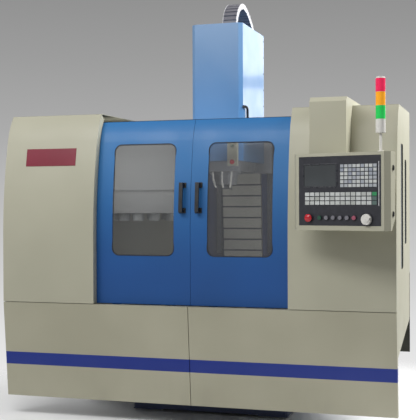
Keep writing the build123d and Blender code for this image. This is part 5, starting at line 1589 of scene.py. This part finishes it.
@dataclass
class Studio:
    """Camera, lamps, backdrop and floor."""

    eye: Point = (1.9561, -6.6727, 1.4242)
    azimuth: float = 17.416
    pitch: float = -0.431
    roll: float = -0.24
    lens: float = 83.35
    sensor: float = 36.0
    ambient: float = 0.25
    floor_radius: float = 6.0
    floor_sides: int = 96
    fade_start: float = 1.45
    fade_end: float = 2.5
    sky: tuple[tuple[float, str], ...] = (
        (-0.25, "#f6f6f6"),
        (-0.197, "#f0f0f0"),
        (-0.158, "#e6e6e6"),
        (-0.118, "#dedede"),
        (-0.078, "#d2d2d2"),
        (0.003, "#bcbcbc"),
        (0.073, "#ababab"),
        (0.143, "#9d9d9d"),
        (0.198, "#939393"),
        (0.25, "#8b8b8b"),
    )
    lamps: tuple[SoftBox, ...] = (
        SoftBox("key", (-0.9, -4.1, 4.3), (0.0, -0.8, 1.5), 3.6, 1.4, 142.0),
        SoftBox("fill", (-4.0, -4.6, 3.6), (-0.2, -0.8, 1.4), 2.6, 2.6, 46.0, False),
        SoftBox("side", (4.1, 0.9, 4.7), (1.3, -0.3, 2.0), 2.2, 2.2, 430.0, False),
        SoftBox("card_high", (2.3, 7.2, 3.75), (0.2, 0.1, 2.6), 1.5, 0.9, 13.0),
        SoftBox("card_middle", (2.3, 7.2, 2.86), (0.2, 0.1, 2.2), 1.5, 0.5, 7.0),
        SoftBox("back", (-4.5, 4.5, 3.6), (0.0, 0.5, 1.2), 3.0, 3.0, 160.0, False),
        SoftBox("inside_left", (-0.55, -0.585, 1.62), (-0.52, 0.0, 1.55), 0.7, 0.5, 3.4, False),
        SoftBox("inside_right", (0.6, -0.5, 1.3), (0.05, 0.45, 1.15), 0.3, 0.5, 8.0, False),
    )

    def camera(self) -> None:
        """Put the camera where the photograph was taken from."""
        turn, tilt, lean = (math.radians(x) for x in (self.azimuth, self.pitch, self.roll))
        back = Vector(
            (
                math.sin(turn) * math.cos(tilt),
                -math.cos(turn) * math.cos(tilt),
                -math.sin(tilt),
            )
        )
        level = Vector((math.cos(turn), math.sin(turn), 0.0))
        upright = back.cross(level)
        right = level * math.cos(lean) + upright * math.sin(lean)
        up = upright * math.cos(lean) - level * math.sin(lean)
        data = bpy.data.cameras.new("camera")
        data.lens = self.lens
        data.sensor_width = self.sensor
        data.clip_end = 60.0
        holder = add_object("camera", data)
        turned = Matrix((right, up, back)).transposed().to_4x4()
        holder.matrix_world = Matrix.Translation(self.eye) @ turned
        bpy.context.scene.camera = holder

    def backdrop(self) -> None:
        """Light softly from all round, and show a grey that pales downwards behind the machine."""
        world = bpy.data.worlds.new("studio")
        bpy.context.scene.world = world
        world.use_nodes = True
        tree = world.node_tree
        tree.nodes.clear()
        direction = add_node(tree, "ShaderNodeTexCoord").outputs["Generated"]
        height = add_node(tree, "ShaderNodeSeparateXYZ", inputs={0: direction}).outputs[2]
        reach = self.sky[-1][0] - self.sky[0][0]
        span = {0: height, 1: self.sky[0][0], 2: self.sky[-1][0], 3: 0.0, 4: 1.0}
        share = add_node(tree, "ShaderNodeMapRange", inputs=span).outputs[0]
        ramp = add_node(tree, "ShaderNodeValToRGB", inputs={0: share})
        stops = ramp.color_ramp.elements
        for number, (place, colour) in enumerate(self.sky):
            at = (place - self.sky[0][0]) / reach
            stop = stops[number] if number < 2 else stops.new(at)
            stop.position = at
            stop.color = srgb(colour)
        path = add_node(tree, "ShaderNodeLightPath").outputs
        seen = path["Is Camera Ray"]
        for other in ("Is Glossy Ray", "Is Transmission Ray"):
            either = {0: seen, 1: path[other]}
            seen = add_node(tree, "ShaderNodeMath", {"operation": "MAXIMUM"}, either).outputs[0]
        light, shown = (
            add_node(tree, "ShaderNodeBackground", inputs={"Color": colour, "Strength": power})
            for colour, power in ((srgb("#fdfeff"), self.ambient), (ramp.outputs[0], 1.0))
        )
        both = {0: seen, 1: light.outputs[0], 2: shown.outputs[0]}
        both = add_node(tree, "ShaderNodeMixShader", inputs=both)
        add_node(tree, "ShaderNodeOutputWorld", inputs={0: both.outputs[0]})

    def floor(self) -> None:
        """Lay a pale round floor that keeps the shadow and fades into the backdrop."""
        mesh = bpy.data.meshes.new("floor")
        ring = [(x, y, 0.0) for x, y in circle(self.floor_radius, self.floor_sides)]
        mesh.from_pydata(ring, [], [list(range(self.floor_sides))])
        floor = add_object("floor", mesh)
        sheet = Sheet("studio_floor")
        far = sheet.add("VectorMath", {"operation": "LENGTH"}, {0: sheet.place}, "Value")
        fade = {"Value": far, 1: self.fade_start, 2: self.fade_end, 3: 1.0, 4: 0.0}
        sheet.set(
            Base_Color=srgb("#f3f3f3"),
            Roughness=0.9,
            Specular_IOR_Level=0.1,
            Alpha=sheet.add("MapRange", SMOOTH, fade),
        )
        mesh.materials.append(sheet.material)

    def build(self) -> None:
        """Set up the whole studio."""
        self.camera()
        self.backdrop()
        self.floor()
        for lamp in self.lamps:
            lamp.build()
        bpy.context.scene.view_settings.view_transform = "Standard"


def main() -> None:
    """Dress the machine and set up the studio."""
    logging.basicConfig(level=logging.INFO, format="%(name)s %(message)s")
    shop = Paintshop()
    shop.dress_cad()
    trims = (
        *SCREWS,
        CableChain(),
        DoorTrim(),
        SlotPanes(),
        WayCover(),
        CoolantNozzles(),
        MagazineGuard(),
        HeadTrim(),
        PendantTrim(),
        CabinetTrim(),
    )
    for trim in trims:
        trim.build(shop)
    Studio().build()


if __name__ == "__main__":
    main()
